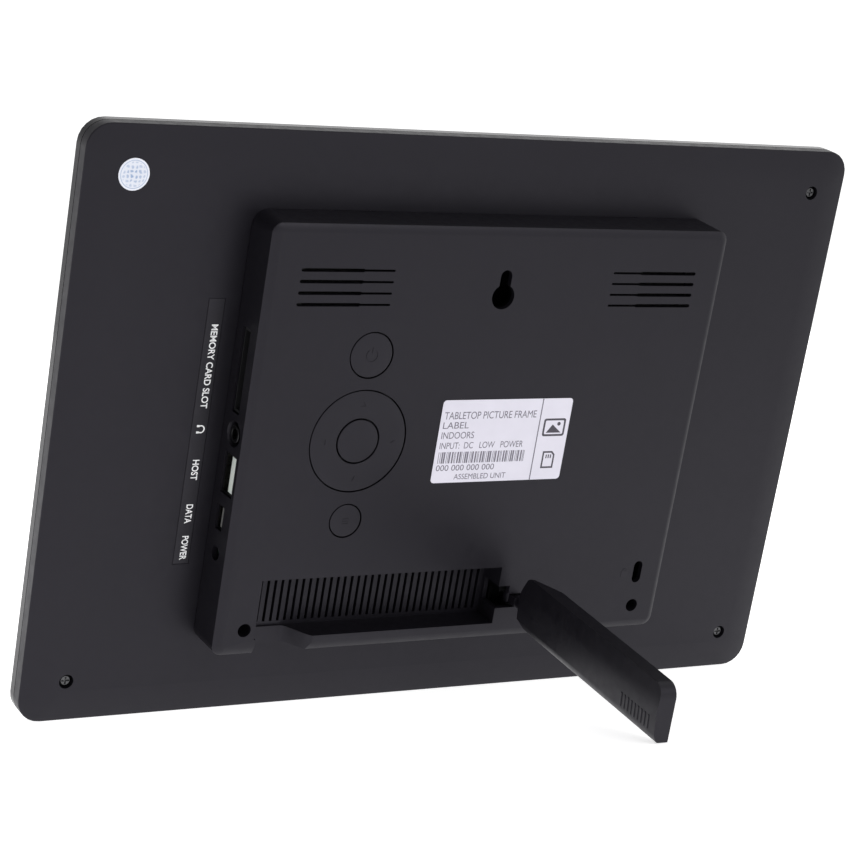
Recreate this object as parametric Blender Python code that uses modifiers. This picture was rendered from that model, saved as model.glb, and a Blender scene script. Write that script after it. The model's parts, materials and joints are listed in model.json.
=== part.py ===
"""Ten-inch digital photo frame on a swing-out rear leg.

The frame is modelled upright in its own panel axes: +X towards the socket side, +Y out of
the back and +Z up the panel, in millimetres. An empty then leans the whole panel back until
the slab's lower rear edge and the leg's tip stand on one level surface, with the origin
under the middle of the object.
"""
import math

import bmesh
import bpy
from mathutils import Matrix, Vector

MM = 0.001

# Slab: front bezel and rear cover meet at a narrow parting gap.
FRAME_WIDTH = 284.0
FRAME_HEIGHT = 194.0
FRAME_CORNER = 8.0
FRAME_EDGE = 0.6
COVER_ROUNDING = 0.25
BEZEL_FRONT = -8.0
BEZEL_INSIDE = -6.4
BEZEL_BACK = -4.3
COVER_FRONT = -4.0
COVER_EDGE = 0.0
COVER_BACK = 1.9
COVER_INSIDE = 0.1
BORDER_SLOPE = 10.6
SLAB_WALL = 1.8
GAP = 0.3

# Screen: a 10.2 inch display with an active area of 222 by 132.5.
WINDOW_WIDTH = 223.4
WINDOW_HEIGHT = 133.9
GLASS_WIDTH = 229.0
GLASS_HEIGHT = 139.0
BACKLIGHT_WIDTH = 235.0
BACKLIGHT_HEIGHT = 143.0

# Rear housing: the raised box that holds the electronics.
HOUSING_WIDTH = 171.2
HOUSING_HEIGHT = 144.0
HOUSING_Z = 0.6
HOUSING_CORNER = 5.5
HOUSING_BASE = COVER_BACK + GAP
HOUSING_FACE = 16.3
HOUSING_WALL = 2.0
RIM_WIDTH = 3.2
HOUSING_SIDE = HOUSING_WIDTH / 2
FACE_INSIDE = HOUSING_FACE - HOUSING_WALL

# Recess that the leg folds into, its vent slots and its finger scallop.
RECESS_X = (-18.4, 71.2)
RECESS_Z = (-65.7, -45.3)
RECESS_FLOOR = 5.9
RECESS_WALL = 1.6
VENT_COUNT = 34
VENT_PITCH = 2.555
VENT_WIDTH = 1.0
VENT_FIRST_X = 68.17
VENT_Z = (-64.4, -46.3)
SCALLOP_X = (49.4, 70.6)
SCALLOP_FLOOR = 6.9
SCALLOP_RAMP = 7.9

# Leg and its hinge, whose axis runs up the panel.
HINGE_X = -26.6
HINGE_Y = 12.5
LEG_OPEN_DEGREES = 88.0
LEG_LENGTH = 96.8
LEG_INNER = 2.62
LEG_OUTER = -3.73
LEG_Z = (-65.3, -46.1)
BARREL_RADIUS = 2.7
BARREL_Z = (-59.3, -56.1)
PIN_RADIUS = 1.2
NECK_RADIUS = 2.0
HINGE_SLOT_Z = (-60.2, -55.2)
HINGE_SLOT_END = -30.7
HINGE_STEP = (-22.8, -52.3)

# Keys in one column on the housing's face.
KEY_X = 44.7
POWER_Z = 29.9
PAD_Z = 1.2
MENU_Z = -25.9
KEY_TOP = HOUSING_FACE
KEY_GAP = 0.4
POWER_RADIUS = 7.4
ENTER_RADIUS = 7.2
RING_INNER = 7.65
RING_RADIUS = 16.95
MENU_RADIUS = 5.5
FLANGE_Y = (13.0, 13.6)
FLANGE_LIP = 1.3
ENTER_FLANGE_Y = (12.9, 13.5)
RING_STEP = (9.2, 14.1)
NIB_BOTTOM = 12.0
CARRIER_Y = (12.0, 12.4)
CARRIER_RADII = (9.2, 16.2)
ROCK_RADIUS = 13.0

# Boards.
BOARD_Y = (4.3, 5.9)
BOARD_X = (-12.0, 82.9)
BOARD_Z = (-40.5, 40.5)
KEY_BOARD_X = (29.2, 60.2)
KEY_BOARD_Y = (9.6, 10.8)
SWITCH_HEIGHT = 0.6
WALL_DRAFT = 0.6
CONNECTOR_X = HOUSING_SIDE - WALL_DRAFT - HOUSING_WALL - GAP
CONNECTOR_Y = BOARD_Y[1] + GAP

# Sockets along the port side: centre height up the panel and centre depth.
CARD_Z = (8.7, 36.5)
CARD_Y = (5.9, 10.8)
JACK_Z = 2.1
JACK_Y = 9.4
USB_Z = (-18.1, -4.4)
USB_Y = (5.9, 13.4)
MINI_Z = (-30.4, -22.2)
MINI_Y = (5.9, 10.4)
POWER_IN_Z = -38.2
POWER_IN_Y = 8.6
SHELL_FRONT = HOUSING_SIDE - 0.9

# Fasteners.
COVER_SCREWS = ((127.5, 82.7), (-127.5, 82.7), (-127.5, -82.7), (127.5, -82.7))
POST_TOP = 3.9
HOUSING_SCREWS = ((75.1, -62.2), (-74.7, -62.5))
SCREW_WELL = 2.3
BOARD_SCREWS = ((-8.5, 36.5), (-8.5, -36.5), (66.0, -36.5))

# Speaker grilles, keyhole, lock slot and labels.
SPEAKER_X = 57.5
GRILLE_Z = (57.6, 53.9, 50.2, 46.5)
GRILLE_LENGTH = 33.0
KEYHOLE_NECK = (56.1, 2.1)
KEYHOLE_BULB = (49.25, 4.15)
LOCK_SLOT = (-74.3, -49.9, 3.5, 8.0)
LABEL = (-9.35, 0.3, 49.8, 28.5)
STICKER = (126.6, 82.1, 5.0)
LEGEND_X = (90.9, 96.2)
LEGEND_Z = (-44.2, 43.7)
LABEL_THICKNESS = 0.15
LABEL_GAP = 0.06

PARTS = None
CUTTERS = None
PANEL = None
MATERIALS = {}


# ---------------------------------------------------------------- scene set-up

def clear_scene():
    for item in list(bpy.data.objects):
        bpy.data.objects.remove(item, do_unlink=True)


def new_collection(name):
    collection = bpy.data.collections.new(name)
    bpy.context.scene.collection.children.link(collection)
    return collection


def material(name, colour, roughness, metallic=0.0):
    """Return a Principled material, made once for each name."""
    if name not in MATERIALS:
        made = bpy.data.materials.new(name)
        made.use_nodes = True
        shader = made.node_tree.nodes["Principled BSDF"]
        shader.inputs["Base Color"].default_value = (*colour, 1.0)
        shader.inputs["Roughness"].default_value = roughness
        shader.inputs["Metallic"].default_value = metallic
        MATERIALS[name] = made
    return MATERIALS[name]


def matte_black():
    return material("matte black plastic", (0.035, 0.034, 0.040), 0.5)


def key_black():
    return material("key plastic", (0.040, 0.039, 0.045), 0.45)


def gloss_black():
    return material("gloss black plastic", (0.02, 0.02, 0.022), 0.12)


def socket_black():
    return material("connector plastic", (0.015, 0.015, 0.016), 0.4)


def steel():
    return material("zinc-plated steel", (0.62, 0.62, 0.60), 0.3, 1.0)


def nickel():
    return material("nickel-plated shell", (0.72, 0.71, 0.68), 0.2, 1.0)


def board_green():
    return material("circuit board", (0.02, 0.14, 0.06), 0.4)


def paper_white():
    return material("printed label", (0.82, 0.82, 0.86), 0.5)


# ---------------------------------------------------------------- outlines

def arc(centre, radius, start, end, steps):
    """Points of an arc, angles in degrees, both ends included."""
    points = []
    for step in range(steps + 1):
        angle = math.radians(start + (end - start) * step / steps)
        points.append((centre[0] + radius * math.cos(angle), centre[1] + radius * math.sin(angle)))
    return points


def circle(centre, radius, count=40):
    return arc(centre, radius, 0.0, 360.0 * (count - 1) / count, count - 1)


def rounded_rectangle(width, height, radius, centre=(0.0, 0.0), steps=6):
    across = width / 2 - radius
    up = height / 2 - radius
    points = []
    for quarter, (side_x, side_z) in enumerate(((1, 1), (-1, 1), (-1, -1), (1, -1))):
        corner = (centre[0] + side_x * across, centre[1] + side_z * up)
        points += arc(corner, radius, 90.0 * quarter, 90.0 * (quarter + 1), steps)
    return points


def rectangle(x_range, z_range):
    return [(x_range[0], z_range[0]), (x_range[1], z_range[0]),
            (x_range[1], z_range[1]), (x_range[0], z_range[1])]


# ---------------------------------------------------------------- solids

def add_object(name, mesh, shade=None, cutter=False):
    """Put a mesh, whose points are panel millimetres in metres, on the panel."""
    made = bpy.data.objects.new(name, mesh)
    if cutter:
        CUTTERS.objects.link(made)
        made.hide_render = True
        made.display_type = "WIRE"
    else:
        PARTS.objects.link(made)
        mesh.materials.append(shade)
    made.parent = PANEL
    return made


PLANE_TURNS = {
    "XZ": Matrix(((1, 0, 0), (0, 0, -1), (0, 1, 0))).to_4x4(),
    "XY": Matrix.Identity(4),
    "YZ": Matrix(((0, 0, 1), (1, 0, 0), (0, 1, 0))).to_4x4(),
}
PLANE_NORMALS = {"XZ": Vector((0, 1, 0)), "XY": Vector((0, 0, 1)), "YZ": Vector((1, 0, 0))}


def plate(name, loops, span, plane="XZ", shade=None, cutter=False):
    """Extrude flat outlines over a span along the plane's normal; inner loops are holes."""
    curve = bpy.data.curves.new(name, "CURVE")
    curve.dimensions = "2D"
    curve.fill_mode = "BOTH"
    curve.extrude = abs(span[1] - span[0]) / 2 * MM
    for loop in loops:
        spline = curve.splines.new("POLY")
        spline.points.add(len(loop) - 1)
        for point, (a, b) in zip(spline.points, loop):
            point.co = (a * MM, b * MM, 0.0, 1.0)
        spline.use_cyclic_u = True
    guide = bpy.data.objects.new(name + "_outline", curve)
    bpy.context.scene.collection.objects.link(guide)
    graph = bpy.context.evaluated_depsgraph_get()
    mesh = bpy.data.meshes.new_from_object(guide.evaluated_get(graph))
    bpy.data.objects.remove(guide, do_unlink=True)
    bpy.data.curves.remove(curve)
    shape = bmesh.new()
    shape.from_mesh(mesh)
    bmesh.ops.remove_doubles(shape, verts=shape.verts, dist=0.000001)
    bmesh.ops.recalc_face_normals(shape, faces=shape.faces)
    shape.to_mesh(mesh)
    shape.free()
    mesh.materials.clear()
    middle = PLANE_NORMALS[plane] * (span[0] + span[1]) / 2 * MM
    mesh.transform(Matrix.Translation(middle) @ PLANE_TURNS[plane])
    return add_object(name, mesh, shade, cutter)


def block(name, x_range, y_range, z_range, shade=None, cutter=False):
    shape = bmesh.new()
    bmesh.ops.create_cube(shape, size=1.0)
    ranges = (x_range, y_range, z_range)
    size = [(high - low) * MM for low, high in ranges]
    middle = [(high + low) / 2 * MM for low, high in ranges]
    bmesh.ops.scale(shape, vec=size, verts=shape.verts)
    bmesh.ops.translate(shape, vec=middle, verts=shape.verts)
    mesh = bpy.data.meshes.new(name)
    shape.to_mesh(mesh)
    shape.free()
    return add_object(name, mesh, shade, cutter)


def rod(name, radius, start, end, sides=24, shade=None, cutter=False, end_radius=None):
    """A cylinder, or a cone when end_radius is given, between two panel points."""
    first = Vector(start) * MM
    last = Vector(end) * MM
    along = last - first
    shape = bmesh.new()
    tip = radius if end_radius is None else end_radius
    bmesh.ops.create_cone(shape, cap_ends=True, segments=sides, radius1=radius * MM,
                          radius2=tip * MM, depth=along.length)
    turn = Vector((0, 0, 1)).rotation_difference(along).to_matrix().to_4x4()
    mesh = bpy.data.meshes.new(name)
    shape.to_mesh(mesh)
    shape.free()
    mesh.transform(Matrix.Translation((first + last) / 2) @ turn)
    return add_object(name, mesh, shade, cutter)


def loft(name, sections, shade=None, cutter=False):
    """Skin a closed solid through (depth, outline) sections with equal point counts."""
    shape = bmesh.new()
    rings = []
    for depth, outline in sections:
        rings.append([shape.verts.new((x * MM, depth * MM, z * MM)) for x, z in outline])
    count = len(rings[0])
    for lower, upper in zip(rings, rings[1:]):
        for index in range(count):
            after = (index + 1) % count
            shape.faces.new((lower[index], lower[after], upper[after], upper[index]))
    shape.faces.new(rings[0])
    shape.faces.new(rings[-1])
    bmesh.ops.remove_doubles(shape, verts=shape.verts, dist=0.000001)
    bmesh.ops.recalc_face_normals(shape, faces=shape.faces)
    mesh = bpy.data.meshes.new(name)
    shape.to_mesh(mesh)
    shape.free()
    return add_object(name, mesh, shade, cutter)


def turned(name, profile, centre, sides=32, closed=False, shade=None):
    """Revolve (radius, depth) points about a line through centre along the panel's +Y."""
    mesh = bpy.data.meshes.new(name)
    shape = bmesh.new()
    points = [shape.verts.new((radius * MM, 0.0, depth * MM)) for radius, depth in profile]
    pairs = list(zip(points, points[1:]))
    if closed:
        pairs.append((points[-1], points[0]))
    for first, last in pairs:
        shape.edges.new((first, last))
    shape.to_mesh(mesh)
    shape.free()
    made = add_object(name, mesh, shade)
    made.rotation_euler = (-math.pi / 2, 0.0, 0.0)
    made.location = (centre[0] * MM, 0.0, centre[1] * MM)
    screw = made.modifiers.new("Turn", "SCREW")
    screw.steps = sides
    screw.render_steps = sides
    screw.use_merge_vertices = True
    screw.merge_threshold = 0.000001
    screw.use_smooth_shade = True
    return made


def boolean(target, tool, operation):
    change = target.modifiers.new(tool.name, "BOOLEAN")
    change.operation = operation
    change.solver = "EXACT"
    change.object = tool
    return target


def cut(target, *tools):
    for tool in tools:
        boolean(target, tool, "DIFFERENCE")
    return target


def fuse(target, *tools):
    for tool in tools:
        boolean(target, tool, "UNION")
    return target


# ---------------------------------------------------------------- slab

def frame_outline(inset=0.0, radius=None):
    corner = FRAME_CORNER - inset if radius is None else radius
    return rounded_rectangle(FRAME_WIDTH - 2 * inset, FRAME_HEIGHT - 2 * inset, corner)


def make_front_bezel():
    bezel = loft("front_bezel", [
        (BEZEL_FRONT, frame_outline(FRAME_EDGE * 1.6)),
        (BEZEL_FRONT + 0.3 * FRAME_EDGE, frame_outline(FRAME_EDGE * 0.8)),
        (BEZEL_FRONT + 1.2 * FRAME_EDGE, frame_outline()),
        (BEZEL_BACK, frame_outline()),
    ], gloss_black())
    cavity = loft("bezel_cavity", [
        (BEZEL_INSIDE, frame_outline(SLAB_WALL)),
        (BEZEL_BACK + 1.0, frame_outline(SLAB_WALL)),
    ], cutter=True)
    window_slope = 1.6
    window = loft("window_cutter", [
        (BEZEL_FRONT - 0.5, rounded_rectangle(WINDOW_WIDTH + 2 * window_slope + 0.7,
                                              WINDOW_HEIGHT + 2 * window_slope + 0.7, 2.0)),
        (BEZEL_INSIDE - 0.3, rounded_rectangle(WINDOW_WIDTH, WINDOW_HEIGHT, 0.6)),
        (BEZEL_INSIDE + 1.0, rounded_rectangle(WINDOW_WIDTH, WINDOW_HEIGHT, 0.6)),
    ], cutter=True)
    cut(bezel, cavity, window)
    for number, (x, z) in enumerate(COVER_SCREWS, 1):
        boss = rod(f"bezel_boss_{number}", 3.0, (x, BEZEL_INSIDE - 0.4, z), (x, -2.6, z), 20, cutter=True)
        pilot = rod(f"bezel_pilot_{number}", 1.3, (x, BEZEL_INSIDE + 0.1, z), (x, 0.0, z), 16, cutter=True)
        fuse(bezel, boss)
        cut(bezel, pilot)
    return bezel


def make_screen():
    gasket_loops = [rounded_rectangle(GLASS_WIDTH, GLASS_HEIGHT, 1.0, steps=2),
                    rounded_rectangle(WINDOW_WIDTH + 1.2, WINDOW_HEIGHT + 1.1, 0.6, steps=2)]
    foam = material("gasket foam", (0.03, 0.03, 0.03), 0.9)
    plate("window_gasket", gasket_loops, (-6.3, -5.7), shade=foam)
    glass = material("screen glass", (0.012, 0.013, 0.016), 0.05)
    plate("lcd_glass", [rounded_rectangle(GLASS_WIDTH, GLASS_HEIGHT, 0.8, steps=2)], (-5.6, -4.2),
          shade=glass)
    light = material("backlight frame", (0.75, 0.76, 0.78), 0.35, 0.6)
    plate("backlight_unit", [rounded_rectangle(BACKLIGHT_WIDTH, BACKLIGHT_HEIGHT, 1.5, steps=2)],
          (-4.0, -0.9), shade=light)
    side = BACKLIGHT_WIDTH / 2
    web = (side + 0.4, side + 1.2)
    profile = [(side - 4.0, -0.7), (side - 4.0, -0.2), (web[1], -0.2), (web[1], -5.4),
               (side + 7.0, -5.4), (side + 7.0, -6.1), (web[0], -6.1), (web[0], -0.7)]
    plate("display_bracket_left", [profile], (-30.0, 30.0), "XY", shade=steel())
    mirrored = [(-x, y) for x, y in profile]
    plate("display_bracket_right", [mirrored], (-30.0, 30.0), "XY", shade=steel())


def make_rear_cover():
    cover = loft("rear_cover", [
        (COVER_FRONT, frame_outline()),
        (COVER_EDGE - COVER_ROUNDING, frame_outline()),
        (COVER_EDGE, frame_outline(COVER_ROUNDING)),
        (COVER_BACK, frame_outline(BORDER_SLOPE, 2.0)),
    ], matte_black())
    cavity = loft("cover_cavity", [
        (COVER_FRONT - 1.0, frame_outline(SLAB_WALL)),
        (COVER_EDGE - SLAB_WALL, frame_outline(SLAB_WALL)),
        (COVER_INSIDE, frame_outline(BORDER_SLOPE, 1.5)),
    ], cutter=True)
    cut(cover, cavity)
    for number, (x, z) in enumerate(COVER_SCREWS, 1):
        boss = rod(f"cover_boss_{number}", 3.8, (x, 0.8, z), (x, -2.2, z), 24, cutter=True)
        well = rod(f"cover_well_{number}", 2.4, (x, -0.6, z), (x, 3.0, z), 24, cutter=True)
        hole = rod(f"cover_hole_{number}", 1.4, (x, -3.0, z), (x, 0.0, z), 16, cutter=True)
        fuse(cover, boss)
        cut(cover, well, hole)
    for number, (x, z) in enumerate(HOUSING_SCREWS, 1):
        post = rod(f"cover_post_{number}", 3.0, (x, COVER_BACK - 0.5, z), (x, POST_TOP, z), 20, cutter=True)
        pilot = rod(f"cover_pilot_{number}", 1.55, (x, 0.9, z), (x, 5.5, z), 16, cutter=True)
        fuse(cover, post)
        cut(cover, pilot)
    cable_slot = block("cable_slot", (-26.5, -21.5), (-1.0, 3.0), (5.0, 31.0), cutter=True)
    legend_bed = block("legend_bed", (LEGEND_X[0] - 0.2, LEGEND_X[1] + 0.2), (COVER_BACK - 0.25, 3.0),
                       (LEGEND_Z[0] - 0.2, LEGEND_Z[1] + 0.2), cutter=True)
    cut(cover, cable_slot, legend_bed)
    for side, x in (("left", -50.0), ("right", 50.0)):
        slot = block(f"tongue_slot_{side}", (x - 6.4, x + 6.4), (-1.0, 3.0), (70.4, 72.6), cutter=True)
        cut(cover, slot)
    return cover


# ---------------------------------------------------------------- rear housing

def housing_outline(inset, corner=None):
    radius = HOUSING_CORNER - inset if corner is None else corner
    return rounded_rectangle(HOUSING_WIDTH - 2 * inset, HOUSING_HEIGHT - 2 * inset, radius,
                             (0.0, HOUSING_Z))


def keyhole_outline(extra=0.0):
    """A round bulb with a narrower round-ended neck above it."""
    neck_z, neck_radius = KEYHOLE_NECK
    bulb_z, bulb_radius = KEYHOLE_BULB
    neck = neck_radius + extra
    bulb = bulb_radius + extra
    throat = math.degrees(math.acos(neck / bulb))
    points = arc((0.0, neck_z), neck, 0.0, 180.0, 8)
    points += arc((0.0, bulb_z), bulb, 180.0 - throat, 360.0 + throat, 20)
    return points


def grille_outlines():
    """Slots that narrow over the third nearest the middle of the housing."""
    loops = []
    tall = 0.58
    low = 0.36
    half = GRILLE_LENGTH / 2
    for side in (-1, 1):
        for z in GRILLE_Z:
            outer = side * (SPEAKER_X + half - tall)
            inner = side * (SPEAKER_X - half + low)
            step = side * (SPEAKER_X - half / 3)
            outer_arc = arc((outer, z), tall, -90.0, 90.0, 4)
            inner_arc = arc((inner, z), low, 90.0, 270.0, 4)
            if side < 0:
                outer_arc = arc((outer, z), tall, 270.0, 90.0, 4)
                inner_arc = arc((inner, z), low, 90.0, -90.0, 4)
            loops.append(outer_arc + [(step, z + tall), (step, z + low)] + inner_arc
                         + [(step, z - low), (step, z - tall)])
    return loops


def recess_block(name, grow, y_range):
    return block(name, (RECESS_X[0] - grow, RECESS_X[1] + grow), y_range,
                 (RECESS_Z[0] - grow, RECESS_Z[1] + grow), cutter=True)


def scallop_outline():
    """Finger scallop, seen up the panel: square at one end, swept up at the other."""
    low, high = SCALLOP_X
    rise = HOUSING_FACE + 0.1 - SCALLOP_FLOOR
    points = [(high, HOUSING_FACE + 2.0), (high, SCALLOP_FLOOR)]
    for step in range(11):
        part = step / 10
        lift = rise * part * part * (3 - 2 * part)
        points.append((low + SCALLOP_RAMP * (1 - part), SCALLOP_FLOOR + lift))
    points.append((low, HOUSING_FACE + 2.0))
    return points


def make_rear_housing():
    housing = loft("rear_housing", [
        (HOUSING_BASE, housing_outline(0.0)),
        (HOUSING_FACE - 1.5, housing_outline(0.5, 3.6)),
        (HOUSING_FACE - 1.2, housing_outline(0.7, 3.4)),
        (HOUSING_FACE, housing_outline(RIM_WIDTH, 1.2)),
    ], matte_black())
    cavity = loft("housing_cavity", [
        (HOUSING_BASE - 1.0, housing_outline(HOUSING_WALL)),
        (FACE_INSIDE - 0.8, housing_outline(HOUSING_WALL + WALL_DRAFT)),
        (FACE_INSIDE, housing_outline(HOUSING_WALL + 1.4)),
    ], cutter=True)
    pocket = recess_block("recess_shell", RECESS_WALL, (RECESS_FLOOR - RECESS_WALL, HOUSING_FACE))
    lip = block("scallop_shell", (SCALLOP_X[0] - 1.6, SCALLOP_X[1] + 1.6),
                (SCALLOP_FLOOR - 1.6, HOUSING_FACE), (-70.5, RECESS_Z[0]), cutter=True)
    cut(cavity, pocket, lip)
    cut(housing, cavity)
    for number, (x, z) in enumerate(HOUSING_SCREWS, 1):
        boss = rod(f"housing_boss_{number}", 3.9, (x, POST_TOP + GAP, z), (x, HOUSING_FACE - 1.0, z), 24,
                   cutter=True)
        fuse(housing, boss)
    for number, (x, z) in enumerate(BOARD_SCREWS, 1):
        post = rod(f"board_post_{number}", 2.6, (x, BOARD_Y[1] + GAP, z), (x, HOUSING_FACE - 1.0, z), 16,
                   cutter=True)
        pilot = rod(f"board_pilot_{number}", 1.2, (x, 5.0, z), (x, 12.0, z), 12, cutter=True)
        fuse(housing, post)
        cut(housing, pilot)
    for side, x in (("left", -50.0), ("right", 50.0)):
        tongue = block(f"tongue_{side}", (x - 6.0, x + 6.0), (0.4, 3.2), (70.8, 72.2), cutter=True)
        fuse(housing, tongue)
    cut(housing, recess_block("recess_cutter", 0.0, (RECESS_FLOOR, HOUSING_FACE + 2.0)))
    scallop = plate("scallop_cutter", [scallop_outline()], (-74.0, RECESS_Z[0] + 0.5), "XY", cutter=True)
    cut(housing, scallop)
    cut(housing, make_vent_cutter(), make_hinge_opening(), make_face_cutter(), *make_port_cutters())
    for number, (x, z) in enumerate(HOUSING_SCREWS, 1):
        well = rod(f"housing_well_{number}", SCREW_WELL, (x, 6.5, z), (x, HOUSING_FACE + 1.0, z), 24,
                   cutter=True)
        hole = rod(f"housing_hole_{number}", 1.6, (x, 4.0, z), (x, 7.0, z), 16, cutter=True)
        cut(housing, well, hole)
    return housing


def make_vent_cutter():
    loops = []
    for index in range(VENT_COUNT):
        x = VENT_FIRST_X - VENT_PITCH * index
        loops.append(rectangle((x - VENT_WIDTH / 2, x + VENT_WIDTH / 2), VENT_Z))
    return plate("vent_cutter", loops, (RECESS_FLOOR - 3.0, RECESS_FLOOR + 1.0), cutter=True)


def make_hinge_opening():
    """The stepped slot, from the recess, that the leg's neck swings through."""
    low, high = HINGE_SLOT_Z
    step_x, step_z = HINGE_STEP
    start = RECESS_X[0] + 0.5
    outline = [(start, low), (start, step_z), (step_x, step_z), (step_x, high),
               (HINGE_SLOT_END, high), (HINGE_SLOT_END, low)]
    return plate("hinge_opening", [outline], (7.4, HOUSING_FACE + 2.0), cutter=True)


def make_face_cutter():
    """Every hole that goes straight through the housing's face."""
    x, z, width, height = LOCK_SLOT
    loops = grille_outlines() + [
        keyhole_outline(),
        circle((KEY_X, POWER_Z), POWER_RADIUS + KEY_GAP, 48),
        circle((KEY_X, PAD_Z), RING_RADIUS + KEY_GAP, 72),
        circle((KEY_X, MENU_Z), MENU_RADIUS + KEY_GAP, 40),
        rounded_rectangle(width, height, width / 2, (x, z), 4),
    ]
    return plate("face_cutter", loops, (FACE_INSIDE - 1.0, HOUSING_FACE + 1.0), cutter=True)


def make_port_cutters():
    """Openings in the port-side wall, as outlines of depth against height."""
    reach = (CONNECTOR_X - 1.0, HOUSING_SIDE + 2.0)

    def opening(name, y_range, z_range, corner):
        centre = ((y_range[0] + y_range[1]) / 2, (z_range[0] + z_range[1]) / 2)
        outline = rounded_rectangle(y_range[1] - y_range[0], z_range[1] - z_range[0], corner, centre, 3)
        return plate(name, [outline], reach, "YZ", cutter=True)

    inside = CONNECTOR_X - 0.5
    return [
        opening("card_opening", CARD_Y, CARD_Z, 0.6),
        opening("usb_opening", USB_Y, USB_Z, 0.5),
        opening("mini_usb_opening", MINI_Y, MINI_Z, 0.4),
        rod("jack_opening", 3.2, (inside, JACK_Y, JACK_Z), (HOUSING_SIDE + 0.8, JACK_Y, JACK_Z), 28,
            cutter=True, end_radius=4.6),
        rod("power_opening", 2.4, (inside, POWER_IN_Y, POWER_IN_Z),
            (HOUSING_SIDE + 1.0, POWER_IN_Y, POWER_IN_Z), 24, cutter=True),
    ]


# ---------------------------------------------------------------- electronics

def make_main_board():
    outline = rounded_rectangle(BOARD_X[1] - BOARD_X[0], BOARD_Z[1] - BOARD_Z[0], 1.5,
                                ((BOARD_X[0] + BOARD_X[1]) / 2, 0.0), 2)
    holes = [circle(place, 1.5, 12) for place in BOARD_SCREWS]
    plate("main_board", [outline] + holes, BOARD_Y, shade=board_green())
    chip = material("chip package", (0.025, 0.025, 0.027), 0.35)
    block("processor", (6.0, 22.0), (CONNECTOR_Y - 0.2, 7.5), (-8.0, 8.0), chip)
    block("memory_chip", (4.0, 22.0), (CONNECTOR_Y - 0.2, 7.1), (-24.0, -14.0), chip)


def make_card_slot():
    x_range = (KEY_BOARD_X[1] + 0.4, SHELL_FRONT)
    y_range = (CARD_Y[0] + GAP, CARD_Y[1] - GAP)
    z_range = (CARD_Z[0] + GAP, CARD_Z[1] - GAP)
    slot = block("card_slot", x_range, y_range, z_range, socket_black())
    mouth = block("card_mouth", (x_range[0] + 1.5, x_range[1] + 1.0), (y_range[0] + 0.5, y_range[1] - 0.5),
                  (z_range[0] + 0.8, z_range[1] - 0.8), cutter=True)
    cut(slot, mouth)


def make_headphone_jack():
    """Square body with a round bushing that reaches into the wall's opening."""
    body = block("headphone_jack", (CONNECTOR_X - 12.0, CONNECTOR_X), (CONNECTOR_Y, 12.4),
                 (JACK_Z - 3.3, JACK_Z + 3.3), socket_black())
    front = HOUSING_SIDE - 0.7
    bushing = rod("jack_bushing", 2.8, (CONNECTOR_X - 0.5, JACK_Y, JACK_Z), (front, JACK_Y, JACK_Z), 28,
                  cutter=True)
    bore = rod("jack_bore", 1.8, (CONNECTOR_X - 9.0, JACK_Y, JACK_Z), (front + 1.0, JACK_Y, JACK_Z), 24,
               cutter=True)
    fuse(body, bushing)
    cut(body, bore)


def shell_socket(name, depth, opening_y, opening_z, wall, tongue):
    """A sheet-metal shell that fills its opening, with a mouth and, inside it, a contact tongue."""
    y_range = (opening_y[0] + GAP, opening_y[1] - GAP)
    z_range = (opening_z[0] + GAP, opening_z[1] - GAP)
    back = SHELL_FRONT - depth
    shell = block(name, (back, SHELL_FRONT), y_range, z_range, nickel())
    mouth = block(name + "_mouth", (back + 2.5, SHELL_FRONT + 1.0), (y_range[0] + wall, y_range[1] - wall),
                  (z_range[0] + wall, z_range[1] - wall), cutter=True)
    insert = block(name + "_tongue", (back + 1.5, SHELL_FRONT - 0.4), tongue,
                   (z_range[0] + wall + GAP, z_range[1] - wall - GAP), cutter=True)
    cut(mouth, insert)
    cut(shell, mouth)
    return shell


def make_usb_sockets():
    shell_socket("usb_socket", 16.0, USB_Y, USB_Z, 0.4, (9.3, 11.9))
    shell_socket("mini_usb_socket", 11.0, MINI_Y, MINI_Z, 0.3, (7.7, 8.8))


def make_power_inlet():
    inlet = block("power_inlet", (CONNECTOR_X - 11.0, CONNECTOR_X), (CONNECTOR_Y, 12.0),
                  (POWER_IN_Z - 4.5, POWER_IN_Z + 4.5), socket_black())
    bore = rod("inlet_bore", 1.9, (CONNECTOR_X - 9.0, POWER_IN_Y, POWER_IN_Z),
               (CONNECTOR_X + 1.0, POWER_IN_Y, POWER_IN_Z), 24, cutter=True)
    contact = rod("inlet_pin", 0.6, (CONNECTOR_X - 10.0, POWER_IN_Y, POWER_IN_Z),
                  (CONNECTOR_X - 1.5, POWER_IN_Y, POWER_IN_Z), 12, cutter=True)
    cut(bore, contact)
    cut(inlet, bore)


def make_display_cable():
    """Flat cable from the back of the display, through the cover, to the main board."""
    block("display_connector", (-8.0, -3.5), (CONNECTOR_Y - 0.2, 8.4), (7.0, 29.0),
          material("white connector", (0.8, 0.79, 0.74), 0.5))
    middle = [(-40.0, -0.4), (-25.0, -0.4), (-24.0, 0.6), (-24.0, 5.8), (-22.6, 7.2), (-8.3, 7.2)]
    half = 0.08
    left = []
    right = []
    for index, point in enumerate(middle):
        before = Vector(middle[max(index - 1, 0)])
        after = Vector(middle[min(index + 1, len(middle) - 1)])
        along = (after - before).normalized()
        side = Vector((-along.y, along.x)) * half
        left.append(tuple(Vector(point) + side))
        right.append(tuple(Vector(point) - side))
    plate("display_cable", [left + right[::-1]], (8.0, 28.0), "XY",
          shade=material("flat cable", (0.55, 0.50, 0.40), 0.45))


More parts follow.
